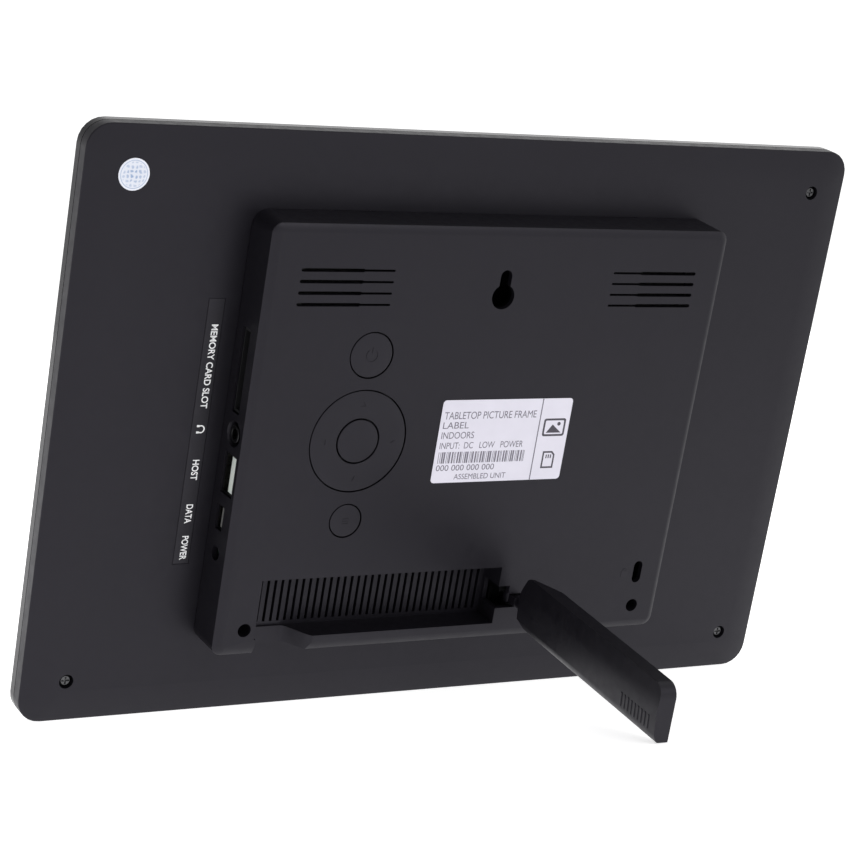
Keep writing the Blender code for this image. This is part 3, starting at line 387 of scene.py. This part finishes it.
def sticker_film():
    """White film with a plain rim and a thin ring round a field of small pale blue dots."""
    made, tree, shader = new_material("sticker_film")
    x, z = STICKER_PLACE
    centre = PANEL @ (Vector((x, COVER_BACK, z)) * MM)
    shift = node(tree, "ShaderNodeMapping")
    shift.inputs["Location"].default_value = -centre
    tree.links.new(coordinates(tree), shift.inputs["Vector"])
    place = shift.outputs["Vector"]
    bands = []
    for direction in ("X", "Z"):
        wave = node(tree, "ShaderNodeTexWave", bands_direction=direction)
        wave.inputs["Scale"].default_value = 230.0
        wave.inputs["Distortion"].default_value = 4.0
        wave.inputs["Detail Scale"].default_value = 2.0
        tree.links.new(place, wave.inputs["Vector"])
        bands.append(wave.outputs["Fac"])
    dots = multiply(tree, *bands)
    reach = node(tree, "ShaderNodeVectorMath", operation="LENGTH")
    tree.links.new(place, reach.inputs[0])
    distance = reach.outputs["Value"]
    field = remap(tree, distance, 1.0, 0.0, *STICKER_FIELD_END)
    denser = remap(tree, distance, 1.0, 0.55, *STICKER_THINNING)
    shown = multiply(tree, field, denser)
    spots = multiply(tree, remap(tree, dots, 0.1, 0.9, 0.05, 0.60), shown)
    ring = node(tree, "ShaderNodeMath", operation="COMPARE")
    tree.links.new(distance, ring.inputs[0])
    ring.inputs[1].default_value = STICKER_RING
    ring.inputs[2].default_value = STICKER_RING_HALF
    blue = node(tree, "ShaderNodeMath", operation="MULTIPLY_ADD")
    tree.links.new(ring.outputs["Value"], blue.inputs[0])
    blue.inputs[1].default_value = 0.6
    tree.links.new(spots, blue.inputs[2])
    tree.links.new(blend_colours(tree, blue.outputs["Value"], (0.80, 0.82, 0.90), (0.22, 0.34, 0.56)),
                   shader.inputs["Base Color"])
    tree.links.new(remap(tree, dots, 0.3, 0.42), shader.inputs["Roughness"])
    bump(tree, shader, noise(tree, coordinates(tree), 300.0), 0.08, 0.00003)
    return made


# ---------------------------------------------------------------- outlines

def arc(centre, radius, start, end, steps):
    """Points along an arc between two angles in degrees, both ends included."""
    points = []
    for step in range(steps + 1):
        angle = math.radians(start + (end - start) * step / steps)
        points.append((centre[0] + radius * math.cos(angle), centre[1] + radius * math.sin(angle)))
    return points


def circle(centre, radius, count):
    return arc(centre, radius, 0.0, 360.0 * (count - 1) / count, count - 1)


def rounded_rectangle(width, height, radius, centre, steps):
    across = width / 2 - radius
    up = height / 2 - radius
    points = []
    for quarter, (side_x, side_z) in enumerate(((1, 1), (-1, 1), (-1, -1), (1, -1))):
        corner = (centre[0] + side_x * across, centre[1] + side_z * up)
        points += arc(corner, radius, 90.0 * quarter, 90.0 * (quarter + 1), steps)
    return points


def rectangle(x_range, z_range):
    return [(x_range[0], z_range[0]), (x_range[1], z_range[0]),
            (x_range[1], z_range[1]), (x_range[0], z_range[1])]


def bar(centre, length, width, degrees=0.0):
    """A straight stroke about its centre, turned by an angle."""
    turn = math.radians(degrees)
    end = (math.cos(turn) * length / 2, math.sin(turn) * length / 2)
    side = (-math.sin(turn) * width / 2, math.cos(turn) * width / 2)
    return [(centre[0] + a * end[0] + b * side[0], centre[1] + a * end[1] + b * side[1])
            for a, b in ((-1, -1), (1, -1), (1, 1), (-1, 1))]


def triangle(centre, size, degrees):
    """An arrowhead that points along an angle."""
    return arc(centre, size, degrees, degrees + 240.0, 2)


def open_ring(centre, radius, width, start, end, steps=28):
    """A stroke that follows an arc."""
    outer = arc(centre, radius + width / 2, start, end, steps)
    inner = arc(centre, radius - width / 2, end, start, steps)
    return outer + inner


# ---------------------------------------------------------------- meshes

def finish_mesh(name, shape):
    """Turn a bmesh in panel millimetres into an object in the scene."""
    mesh = bpy.data.meshes.new(name)
    bmesh.ops.recalc_face_normals(shape, faces=shape.faces)
    shape.to_mesh(mesh)
    shape.free()
    mesh.transform(PANEL @ Matrix.Scale(MM, 4))
    mesh.shade_smooth()
    mesh.set_sharp_from_angle(angle=math.radians(DRAWN_SHARP_DEGREES))
    made = bpy.data.objects.new(name, mesh)
    bpy.context.scene.collection.objects.link(made)
    return made


# How a flat outline turns into each of the panel's planes, and which way that plane faces.
PLANE_TURNS = {
    "XZ": Matrix(((1, 0, 0), (0, 0, -1), (0, 1, 0))).to_4x4(),
    "YZ": Matrix(((0, 0, 1), (1, 0, 0), (0, 1, 0))).to_4x4(),
}
PLANE_NORMALS = {"XZ": Vector((0, 1, 0)), "YZ": Vector((1, 0, 0))}


def drawn(curve):
    """A bmesh of a curve's or a text's faces, with its doubled points merged."""
    guide = bpy.data.objects.new(curve.name, curve)
    bpy.context.scene.collection.objects.link(guide)
    graph = bpy.context.evaluated_depsgraph_get()
    mesh = bpy.data.meshes.new_from_object(guide.evaluated_get(graph))
    bpy.data.objects.remove(guide, do_unlink=True)
    shape = bmesh.new()
    shape.from_mesh(mesh)
    bpy.data.meshes.remove(mesh)
    bmesh.ops.remove_doubles(shape, verts=shape.verts, dist=0.0005)
    return shape


def extruded(loops, span, plane="XZ", edge=0.0):
    """A bmesh, in panel millimetres, of flat outlines given thickness; inner loops are holes."""
    curve = bpy.data.curves.new("outline", "CURVE")
    curve.dimensions = "2D"
    curve.fill_mode = "BOTH"
    half = abs(span[1] - span[0]) / 2
    curve.extrude = half - edge
    curve.bevel_depth = edge
    curve.bevel_resolution = 1
    curve.offset = -edge
    for loop in loops:
        spline = curve.splines.new("POLY")
        spline.points.add(len(loop) - 1)
        for point, (a, b) in zip(spline.points, loop):
            point.co = (a, b, 0.0, 1.0)
        spline.use_cyclic_u = True
    shape = drawn(curve)
    middle = PLANE_NORMALS[plane] * (span[0] + span[1]) / 2
    shape.transform(Matrix.Translation(middle) @ PLANE_TURNS[plane])
    return shape


def plate(name, loops, span, material, plane="XZ", edge=0.0):
    """A thin flat piece on the body of the frame."""
    dress(finish_mesh(name, extruded(loops, span, plane, edge)), material, "frame_body")


def dress(made, material, body):
    """Give a piece its material and the body that it rides on."""
    made.data.materials.clear()
    made.data.materials.append(material)
    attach(made, body)


def revolved(profile, centre, sides):
    """A bmesh of (radius, depth) points turned about a line along the panel's +Y."""
    shape = bmesh.new()
    rings = []
    for radius, depth in profile:
        ring = []
        for x, z in circle(centre, max(radius, 0.0001), sides):
            ring.append(shape.verts.new((x, depth, z)))
        rings.append(ring)
    for first, last in zip(rings, rings[1:]):
        for index in range(sides):
            after = (index + 1) % sides
            shape.faces.new((first[index], first[after], last[after], last[index]))
    return shape


def apply_cut(target, cutter):
    """Take one object out of another and remove it."""
    change = target.modifiers.new("cut", "BOOLEAN")
    change.operation = "DIFFERENCE"
    change.solver = "EXACT"
    change.object = cutter
    graph = bpy.context.evaluated_depsgraph_get()
    mesh = bpy.data.meshes.new_from_object(target.evaluated_get(graph))
    target.modifiers.clear()
    target.data = mesh
    bpy.data.objects.remove(cutter, do_unlink=True)
    mesh.shade_smooth()
    mesh.set_sharp_from_angle(angle=math.radians(DRAWN_SHARP_DEGREES))


def lettering(words, width, height, centre, top, degrees=0.0, bold=0.0):
    """Raised letters that fill a width and a height about a panel (x, z) place, read from behind."""
    curve = bpy.data.curves.new("words", "FONT")
    curve.body = words
    curve.offset = bold
    shape = drawn(curve)
    across = [vertex.co.x for vertex in shape.verts]
    up = [vertex.co.y for vertex in shape.verts]
    middle = Vector(((min(across) + max(across)) / 2, (min(up) + max(up)) / 2, 0.0))
    fit = Matrix.Diagonal((width / (max(across) - min(across)), height / (max(up) - min(up)), 1.0, 1.0))
    turn = Matrix.Rotation(math.radians(degrees), 4, "Z")
    place = Matrix.Translation(Vector((centre[0], top + INK, centre[1])))
    shape.transform(place @ FACE_BACK @ turn @ fit @ Matrix.Translation(-middle))
    thicken(shape)
    return shape


def thicken(shape):
    """Give a flat sheet of letters the thickness of printing."""
    sheet = bmesh.ops.extrude_face_region(shape, geom=shape.faces[:])
    lower = [item for item in sheet["geom"] if isinstance(item, bmesh.types.BMVert)]
    bmesh.ops.translate(shape, vec=(0.0, -INK, 0.0), verts=lower)


def joined(shapes):
    """One bmesh of several, which stay separate islands."""
    whole = bmesh.new()
    for shape in shapes:
        mesh = bpy.data.meshes.new("part")
        shape.to_mesh(mesh)
        shape.free()
        whole.from_mesh(mesh)
        bpy.data.meshes.remove(mesh)
    return whole


# ---------------------------------------------------------------- model nodes

def soften(item, width):
    """Rounded edges and smooth turned walls for a faceted node, without touching its mesh."""
    weld = item.modifiers.new("weld", "WELD")
    weld.merge_threshold = 0.000002
    flat = item.modifiers.new("flat", "DECIMATE")
    flat.decimate_type = "DISSOLVE"
    flat.angle_limit = math.radians(0.6)
    if width > 0.0:
        round_edges = item.modifiers.new("round", "BEVEL")
        round_edges.width = width * MM
        round_edges.segments = 2
        round_edges.limit_method = "ANGLE"
        round_edges.angle_limit = math.radians(40.0)
        round_edges.use_clamp_overlap = True
        round_edges.harden_normals = False
    shade = item.modifiers.new("shade", "NODES")
    shade.node_group = smooth_group()
    even = item.modifiers.new("even", "WEIGHTED_NORMAL")
    even.keep_sharp = True
    even.weight = 100


def smooth_group():
    """Geometry nodes that smooth every face and leave edges over an angle sharp."""
    name = "smooth_faces"
    if name in bpy.data.node_groups:
        return bpy.data.node_groups[name]
    group = bpy.data.node_groups.new(name, "GeometryNodeTree")
    group.interface.new_socket("Geometry", in_out="INPUT", socket_type="NodeSocketGeometry")
    group.interface.new_socket("Geometry", in_out="OUTPUT", socket_type="NodeSocketGeometry")
    start = group.nodes.new("NodeGroupInput")
    end = group.nodes.new("NodeGroupOutput")
    faces = group.nodes.new("GeometryNodeSetShadeSmooth")
    faces.domain = "FACE"
    edges = group.nodes.new("GeometryNodeSetShadeSmooth")
    edges.domain = "EDGE"
    angle = group.nodes.new("GeometryNodeInputMeshEdgeAngle")
    below = group.nodes.new("FunctionNodeCompare")
    below.data_type = "FLOAT"
    below.operation = "LESS_THAN"
    below.inputs["B"].default_value = math.radians(NODE_SHARP_DEGREES)
    group.links.new(start.outputs[0], faces.inputs["Geometry"])
    group.links.new(faces.outputs["Geometry"], edges.inputs["Geometry"])
    group.links.new(angle.outputs["Unsigned Angle"], below.inputs["A"])
    group.links.new(below.outputs["Result"], edges.inputs["Shade Smooth"])
    group.links.new(edges.outputs["Geometry"], end.inputs[0])
    return group


def paint(name, material):
    item = NODES[name]
    item.data.materials.clear()
    item.data.materials.append(material)


def node_materials():
    """Each node's material; a node that isn't named has the plain plated steel of the fasteners."""
    casing = casing_plastic()
    keys = key_plastic()
    # Painted shade: the steel seen through the hinge slot, the keyhole and the lock slot is coloured nearly
    # black, as dark as the shade inside those openings.
    dark_steel = metal("blackened_steel", (0.012, 0.012, 0.013), 0.42)
    # Painted shade: the sockets' shells are coloured far darker than bare plated metal, for the shade in
    # their mouths.
    shell = metal("socket_shell", (0.10, 0.098, 0.094), 0.24, (1.0, 6.0, 6.0))
    black = moulded("connector_plastic", (0.012, 0.012, 0.013), (0.009, 0.009, 0.010), 0.4, 2500.0, 0.15)
    foam = moulded("gasket_foam", (0.02, 0.02, 0.02), (0.012, 0.012, 0.012), 0.9, 1500.0, 0.8)
    cable = moulded("flat_cable", (0.42, 0.30, 0.12), (0.36, 0.25, 0.09), 0.35, 800.0, 0.1)
    pale = moulded("pale_connector", (0.72, 0.70, 0.62), (0.66, 0.64, 0.56), 0.5, 1500.0, 0.15)
    lead = moulded("lead_insulation", (0.28, 0.02, 0.02), (0.22, 0.015, 0.015), 0.5, 900.0, 0.2)
    choices = {
        "front_bezel": bezel_plastic(),
        "lcd_glass": screen_glass(),
        "backlight_unit": metal("backlight_metal", (0.75, 0.76, 0.78), 0.35),
        "window_gasket": foam,
        "main_board": board(),
        "button_board": board(),
        "display_cable": cable,
        "display_connector": pale,
        "rating_label": printed_film("label_film", (0.77, 0.75, 0.84)),
        "inspection_sticker": sticker_film(),
        "port_legend": printed_film("legend_film", (0.0085, 0.0080, 0.0100), 0.36, 0.38),
        "speaker_lead_left": lead,
        "speaker_lead_right": lead,
        "usb_socket": shell,
        "mini_usb_socket": shell,
    }
    for name in ("rear_cover", "rear_housing", "stand_leg"):
        choices[name] = casing
    for name in ("power_button", "menu_button", "enter_button", "navigation_ring", "navigation_carrier"):
        choices[name] = keys
    for name in ("headphone_jack", "power_inlet", "pin_header", "processor", "memory_chip", "card_slot",
                 "speaker_left", "speaker_right"):
        choices[name] = black
    for name in ("hinge_bracket", "hinge_washer_lower", "hinge_washer_upper", "keyhole_plate", "lock_plate"):
        choices[name] = dark_steel
    return choices


def edge_width(name):
    """How far a node's edges are rounded, in millimetres."""
    if name.endswith(("screw_1", "screw_2", "screw_3", "screw_4")):
        return SCREW_ROUNDING
    return CASING_ROUNDING.get(name, 0.0)


def dress_nodes():
    choices = node_materials()
    # Painted shade: this steel is coloured dark for the screws that sit down in their wells; the other
    # unnamed nodes share it.
    steel = metal("plated_steel", (0.12, 0.12, 0.125), 0.30)
    for name in NODES:
        paint(name, choices.get(name, steel))
        soften(NODES[name], edge_width(name))


# ---------------------------------------------------------------- keys

def fillet():
    """A key's rounded top edge, as (how far in from its wall, how far down from its top)."""
    angles = [math.radians(degrees) for degrees in range(0, 91, 15)]
    return [(KEY_ROUNDING * (1 - math.sin(angle)), KEY_ROUNDING * (1 - math.cos(angle)))
            for angle in angles]


def make_key(name, icon_loops, radius, centre, body, material):
    """A round key over a wider flange, which holds it in the housing."""
    flange = radius + FLANGE_WIDTH
    rim = [(radius - aside, HOUSING_FACE - down) for aside, down in fillet()]
    wall = [(radius, FLANGE_BACK), (flange, FLANGE_BACK), (flange, FLANGE_FRONT), (0.0, FLANGE_FRONT)]
    shape = revolved([(0.0, HOUSING_FACE)] + rim + wall, centre, 96)
    bmesh.ops.remove_doubles(shape, verts=shape.verts, dist=0.001)
    bmesh.ops.holes_fill(shape, edges=shape.edges, sides=0)
    key = finish_mesh(name, shape)
    engrave(key, icon_loops)
    dress(key, material, body)
    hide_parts(body)


def engrave(key, loops):
    for loop in loops:
        span = (HOUSING_FACE - ENGRAVING, HOUSING_FACE + 1.0)
        apply_cut(key, finish_mesh("engraver", extruded([loop], span)))


def make_keys():
    material = key_plastic()
    power = (KEY_X, POWER_Z)
    icon = [open_ring(power, 2.0, 0.34, 125.0, 415.0), bar((KEY_X, POWER_Z + 1.7), 1.9, 0.34, 90.0)]
    make_key("power_key", icon, POWER_RADIUS, power, "power_button", material)
    lines = [bar((KEY_X, MENU_Z + offset), 2.2, 0.3) for offset in (-0.8, 0.0, 0.8)]
    make_key("menu_key", lines, MENU_RADIUS, (KEY_X, MENU_Z), "menu_button", material)
    make_key("enter_key", [], ENTER_RADIUS, (KEY_X, PAD_Z), "enter_button", material)
    make_navigation_ring(material)


def make_navigation_ring(material):
    """The ring round the enter key, with an arrowhead for each direction."""
    inside = [(RING_INNER + aside, HOUSING_FACE - down) for aside, down in reversed(fillet())]
    outside = [(RING_OUTER - aside, HOUSING_FACE - down) for aside, down in fillet()]
    below = [(RING_OUTER, FLANGE_BACK), (RING_FLANGE, FLANGE_BACK), (RING_FLANGE, FLANGE_FRONT),
             (RING_STEP, FLANGE_FRONT), (RING_STEP, RING_STEP_DEPTH), (RING_INNER, RING_STEP_DEPTH)]
    profile = inside + outside + below
    shape = revolved(profile + [profile[0]], (KEY_X, PAD_Z), 144)
    bmesh.ops.remove_doubles(shape, verts=shape.verts, dist=0.001)
    ring = finish_mesh("navigation_ring_key", shape)
    middle = (RING_INNER + RING_OUTER) / 2
    marks = []
    for degrees in (0, 90, 180, 270):
        turn = math.radians(degrees)
        spot = (KEY_X + middle * math.cos(turn), PAD_Z + middle * math.sin(turn))
        marks.append(triangle(spot, 1.1, degrees))
    engrave(ring, marks)
    dress(ring, material, "navigation_ring")
    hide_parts("navigation_ring")


# ---------------------------------------------------------------- sockets

def along_side(profile, centre, sides=40):
    """A bmesh of (radius, x) points turned about a line along the panel's +X."""
    shape = revolved(profile, (0.0, 0.0), sides)
    swap = Matrix(((0, 1, 0), (1, 0, 0), (0, 0, 1))).to_4x4()
    shape.transform(Matrix.Translation((0.0, centre[0], centre[1])) @ swap)
    bmesh.ops.remove_doubles(shape, verts=shape.verts, dist=0.001)
    return shape


def contact_row(count, middle, pitch, width, depths, span):
    """Contact strips side by side up the panel, each a bmesh that spans a stretch of X."""
    shapes = []
    for index in range(count):
        z = middle + (index - (count - 1) / 2) * pitch
        strip = rectangle(depths, (z - width / 2, z + width / 2))
        shapes.append(extruded([strip], span, "YZ"))
    return shapes


def make_sockets():
    """What can be seen inside the socket mouths."""
    front = SHELL_FRONT - 0.3
    pale = moulded("socket_tongue", (0.80, 0.86, 0.80), (0.74, 0.80, 0.74), 0.45, 1500.0, 0.1)
    grey = moulded("mini_socket_tongue", (0.17, 0.17, 0.165), (0.14, 0.14, 0.135), 0.45, 1500.0, 0.1)
    plate("usb_tongue", [rectangle((9.25, 11.95), (USB_Z - 5.9, USB_Z + 5.9))], (71.5, front), pale,
          "YZ", 0.12)
    plate("mini_usb_tongue", [rectangle((7.65, 8.85), (MINI_USB_Z - 3.25, MINI_USB_Z + 3.25))],
          (76.5, front), grey, "YZ", 0.12)
    strips = contact_row(4, USB_Z, 2.3, 1.0, (9.17, 9.3), (73.0, front - 0.5))
    strips += contact_row(5, MINI_USB_Z, 0.9, 0.4, (7.58, 7.7), (77.0, front - 0.4))
    strips += contact_row(9, CARD_SLOT_Z, 2.5, 1.0, (6.72, 6.95), (62.5, 78.0))
    gold = metal("socket_contacts", (0.80, 0.58, 0.24), 0.25)
    dress(finish_mesh("socket_contact_strips", joined(strips)), gold, "frame_body")
    nickel = metal("jack_bushing", (0.045, 0.045, 0.047), 0.28)
    bushing = along_side([(1.78, 80.0), (1.78, 84.95), (1.9, 85.05), (2.7, 85.05), (2.85, 84.9), (2.85, 83.2),
                          (2.82, 83.2), (2.82, 80.0), (1.78, 80.0)], JACK_CENTRE)
    dress(finish_mesh("jack_bushing_ring", bushing), nickel, "frame_body")
    pin = along_side([(0.0, 81.45), (0.45, 81.42), (0.64, 81.2), (0.64, 73.0), (0.0, 73.0)], INLET_CENTRE, 24)
    dress(finish_mesh("inlet_pin_sleeve", pin), nickel, "frame_body")


# ---------------------------------------------------------------- leg

def make_ridges():
    """Grip ridges across the leg's lower facet, near its tip."""
    facet = LEG_INNER - (LEG_CREASE_Z - RIDGE_Z) * LEG_FACET_SLOPE
    shapes = []
    for index in range(RIDGE_COUNT):
        centre = (RIDGE_FIRST + RIDGE_PITCH * index, RIDGE_Z)
        outline = rounded_rectangle(RIDGE_WIDTH, RIDGE_LENGTH, 0.44, centre, 4)
        shape = extruded([outline], (facet - 0.4, facet + RIDGE_RISE), "YZ", 0.15)
        for vertex in shape.verts:
            vertex.co.x += (vertex.co.z - RIDGE_Z) * LEG_FACET_SLOPE
        shapes.append(shape)
    ridges = joined(shapes)
    swing = Matrix.Rotation(math.radians(LEG_OPEN_DEGREES - 90.0), 4, "Z")
    ridges.transform(Matrix.Translation((HINGE_PLACE.x, HINGE_PLACE.y, 0.0)) @ swing)
    dress(finish_mesh("leg_grip_ridges", ridges), casing_plastic(), "stand_leg")


# ---------------------------------------------------------------- printing

def bars(left, right, low, high):
    """A strip of upright bars that stands for a printed code and holds none."""
    loops = []
    place = left
    step = 0
    while place < right - 0.8:
        width = 0.20 + 0.17 * ((step * step * 3 + step) % 4)
        loops.append(rectangle((-place - width, -place), (low, high)))
        place += width + 0.20 + 0.16 * ((step * 5 + 2) % 3)
        step += 1
    return loops


def picture_mark(x, z):
    """A small landscape in a frame."""
    outer = rounded_rectangle(8.6, 6.2, 0.8, (x, z), 4)
    inner = rounded_rectangle(7.2, 4.8, 0.4, (x, z), 4)
    hill = [(x - 2.9, z - 1.9), (x + 2.9, z - 1.9), (x + 0.7, z + 1.0)]
    return [outer, inner, hill, circle((x - 1.7, z + 1.2), 0.65, 24)]


def card_mark(x, z):
    """A memory card with its row of contacts."""
    outer = [(x - 2.4, z - 3.0), (x + 2.4, z - 3.0), (x + 2.4, z + 3.0), (x - 1.2, z + 3.0),
             (x - 2.4, z + 1.8)]
    inner = [(x - 1.8, z - 2.4), (x + 1.8, z - 2.4), (x + 1.8, z + 2.4), (x - 0.95, z + 2.4),
             (x - 1.8, z + 1.55)]
    strips = [rectangle((x - 1.1 + 0.85 * index, x - 0.65 + 0.85 * index), (z + 0.5, z + 1.8))
              for index in range(3)]
    return [outer, inner] + strips


def make_label_printing():
    grey = ink("label_ink", (0.13, 0.12, 0.155))
    dark = ink("label_mark_ink", (0.045, 0.040, 0.055))
    span = (LABEL_TOP, LABEL_TOP + INK)
    lines = []
    for words, left, right, low, high in LABEL_LINES:
        centre = (-(left + right) / 2, (low + high) / 2)
        lines.append(lettering(words, right - left, high - low, centre, LABEL_TOP))
    dress(finish_mesh("label_lines", joined(lines)), grey, "frame_body")
    plate("label_bars", bars(*LABEL_BARS), span, grey)
    plate("label_divider", [rectangle(*LABEL_DIVIDER)], span, grey)
    plate("label_picture_mark", picture_mark(*PICTURE_MARK_PLACE), span, dark)
    plate("label_card_mark", card_mark(*CARD_MARK_PLACE), span, dark)


def headphone_mark(x, z):
    """A headband with its two cups."""
    band = open_ring((x - 0.05, z), 1.15, 0.42, 48.0, 312.0)
    cups = [bar((x + 0.95, z + side), 0.9, 0.7) for side in (-1.05, 1.05)]
    return [band] + cups


def make_port_printing():
    """White printing beside the sockets, read from the top of the panel downwards."""
    white = ink("legend_ink", (0.82, 0.82, 0.84))
    shapes = []
    for words, high, low in PORT_NAMES:
        centre = (PORT_NAME_X, (high + low) / 2)
        shapes.append(lettering(words, high - low, PORT_LETTER_SIZE, centre, LEGEND_TOP, -90.0, 0.018))
    for loop in headphone_mark(PORT_NAME_X, HEADPHONE_MARK_Z):
        shapes.append(extruded([loop], (LEGEND_TOP, LEGEND_TOP + INK)))
    dress(finish_mesh("port_names", joined(shapes)), white, "frame_body")


def make_lock_mark():
    """A small raised padlock beside the lock slot."""
    x, z = LOCK_MARK_PLACE
    body = rounded_rectangle(2.8, 2.2, 0.3, (x, z), 3)
    shackle = open_ring((x, z + 1.1), 0.8, 0.35, 0.0, 180.0, 12)
    span = (HOUSING_FACE - 0.02, HOUSING_FACE + 0.08)
    shapes = [extruded([body], span), extruded([shackle], span)]
    dress(finish_mesh("lock_mark", joined(shapes)), key_plastic(), "frame_body")


# ---------------------------------------------------------------- stage

def make_floor():
    """A pale table that glows as painted light, brighter on the display's side of the object."""
    shape = bmesh.new()
    bmesh.ops.create_grid(shape, x_segments=1, y_segments=1, size=3.0)
    mesh = bpy.data.meshes.new("floor")
    shape.to_mesh(mesh)
    shape.free()
    floor = bpy.data.objects.new("floor", mesh)
    floor.location.z = -0.0002
    bpy.context.scene.collection.objects.link(floor)
    made, tree, shader = new_material("floor_paper")
    place = coordinates(tree)
    tint = remap(tree, noise(tree, place, 2.0), 0.0, 1.0)
    tree.links.new(blend_colours(tree, tint, (0.90, 0.90, 0.90), (0.94, 0.94, 0.94)),
                   shader.inputs["Base Color"])
    shader.inputs["Roughness"].default_value = 0.8
    shader.inputs["Specular IOR Level"].default_value = 0.1
    shader.inputs["Emission Color"].default_value = (1.0, 1.0, 1.0, 1.0)
    tree.links.new(remap(tree, along(tree, place, FLOOR_FADE), *FLOOR_GLOW, *FLOOR_RANGE),
                   shader.inputs["Emission Strength"])
    floor.data.materials.append(made)


def make_walls():
    """Plain pale studio walls all round, brightest low down and away from the sockets."""
    world = bpy.data.worlds.new("studio")
    world.use_nodes = True
    tree = world.node_tree
    sky = tree.nodes["Background"]
    sky.inputs["Color"].default_value = (1.0, 1.0, 1.0, 1.0)
    toward = node(tree, "ShaderNodeTexCoord").outputs["Generated"]
    tree.links.new(remap(tree, along(tree, toward, WALL_FADE), *WALL_GLOW, *WALL_RANGE),
                   sky.inputs["Strength"])
    bpy.context.scene.world = world


def make_lamp():
    """One large soft lamp behind and above the object, aimed at its middle."""
    lamp = bpy.data.lights.new("key_light", "AREA")
    lamp.shape = "DISK"
    lamp.size = LAMP_SIZE
    lamp.energy = LAMP_POWER
    made = bpy.data.objects.new("key_light", lamp)
    made.location = LAMP_PLACE
    made.rotation_euler = (LAMP_AIM - LAMP_PLACE).to_track_quat("-Z", "Y").to_euler()
    bpy.context.scene.collection.objects.link(made)


def make_camera():
    """The view from behind, on the socket side, a little above the middle of the panel."""
    lens = bpy.data.cameras.new("camera")
    lens.sensor_width = SENSOR_WIDTH
    lens.lens = CAMERA_LENS
    camera = bpy.data.objects.new("camera", lens)
    bpy.context.scene.collection.objects.link(camera)
    up = CAMERA_RIGHT.cross(CAMERA_FORWARD)
    turn = Matrix((AXES @ CAMERA_RIGHT, AXES @ up, AXES @ -CAMERA_FORWARD)).transposed()
    camera.matrix_world = Matrix.Translation(PANEL @ (CAMERA_PLACE * MM)) @ turn.to_4x4()
    bpy.context.scene.camera = camera


make_camera()
make_floor()
make_walls()
make_lamp()
bpy.context.scene.view_settings.view_transform = "Standard"
dress_nodes()
make_keys()
make_sockets()
make_ridges()
make_label_printing()
make_port_printing()
make_lock_mark()
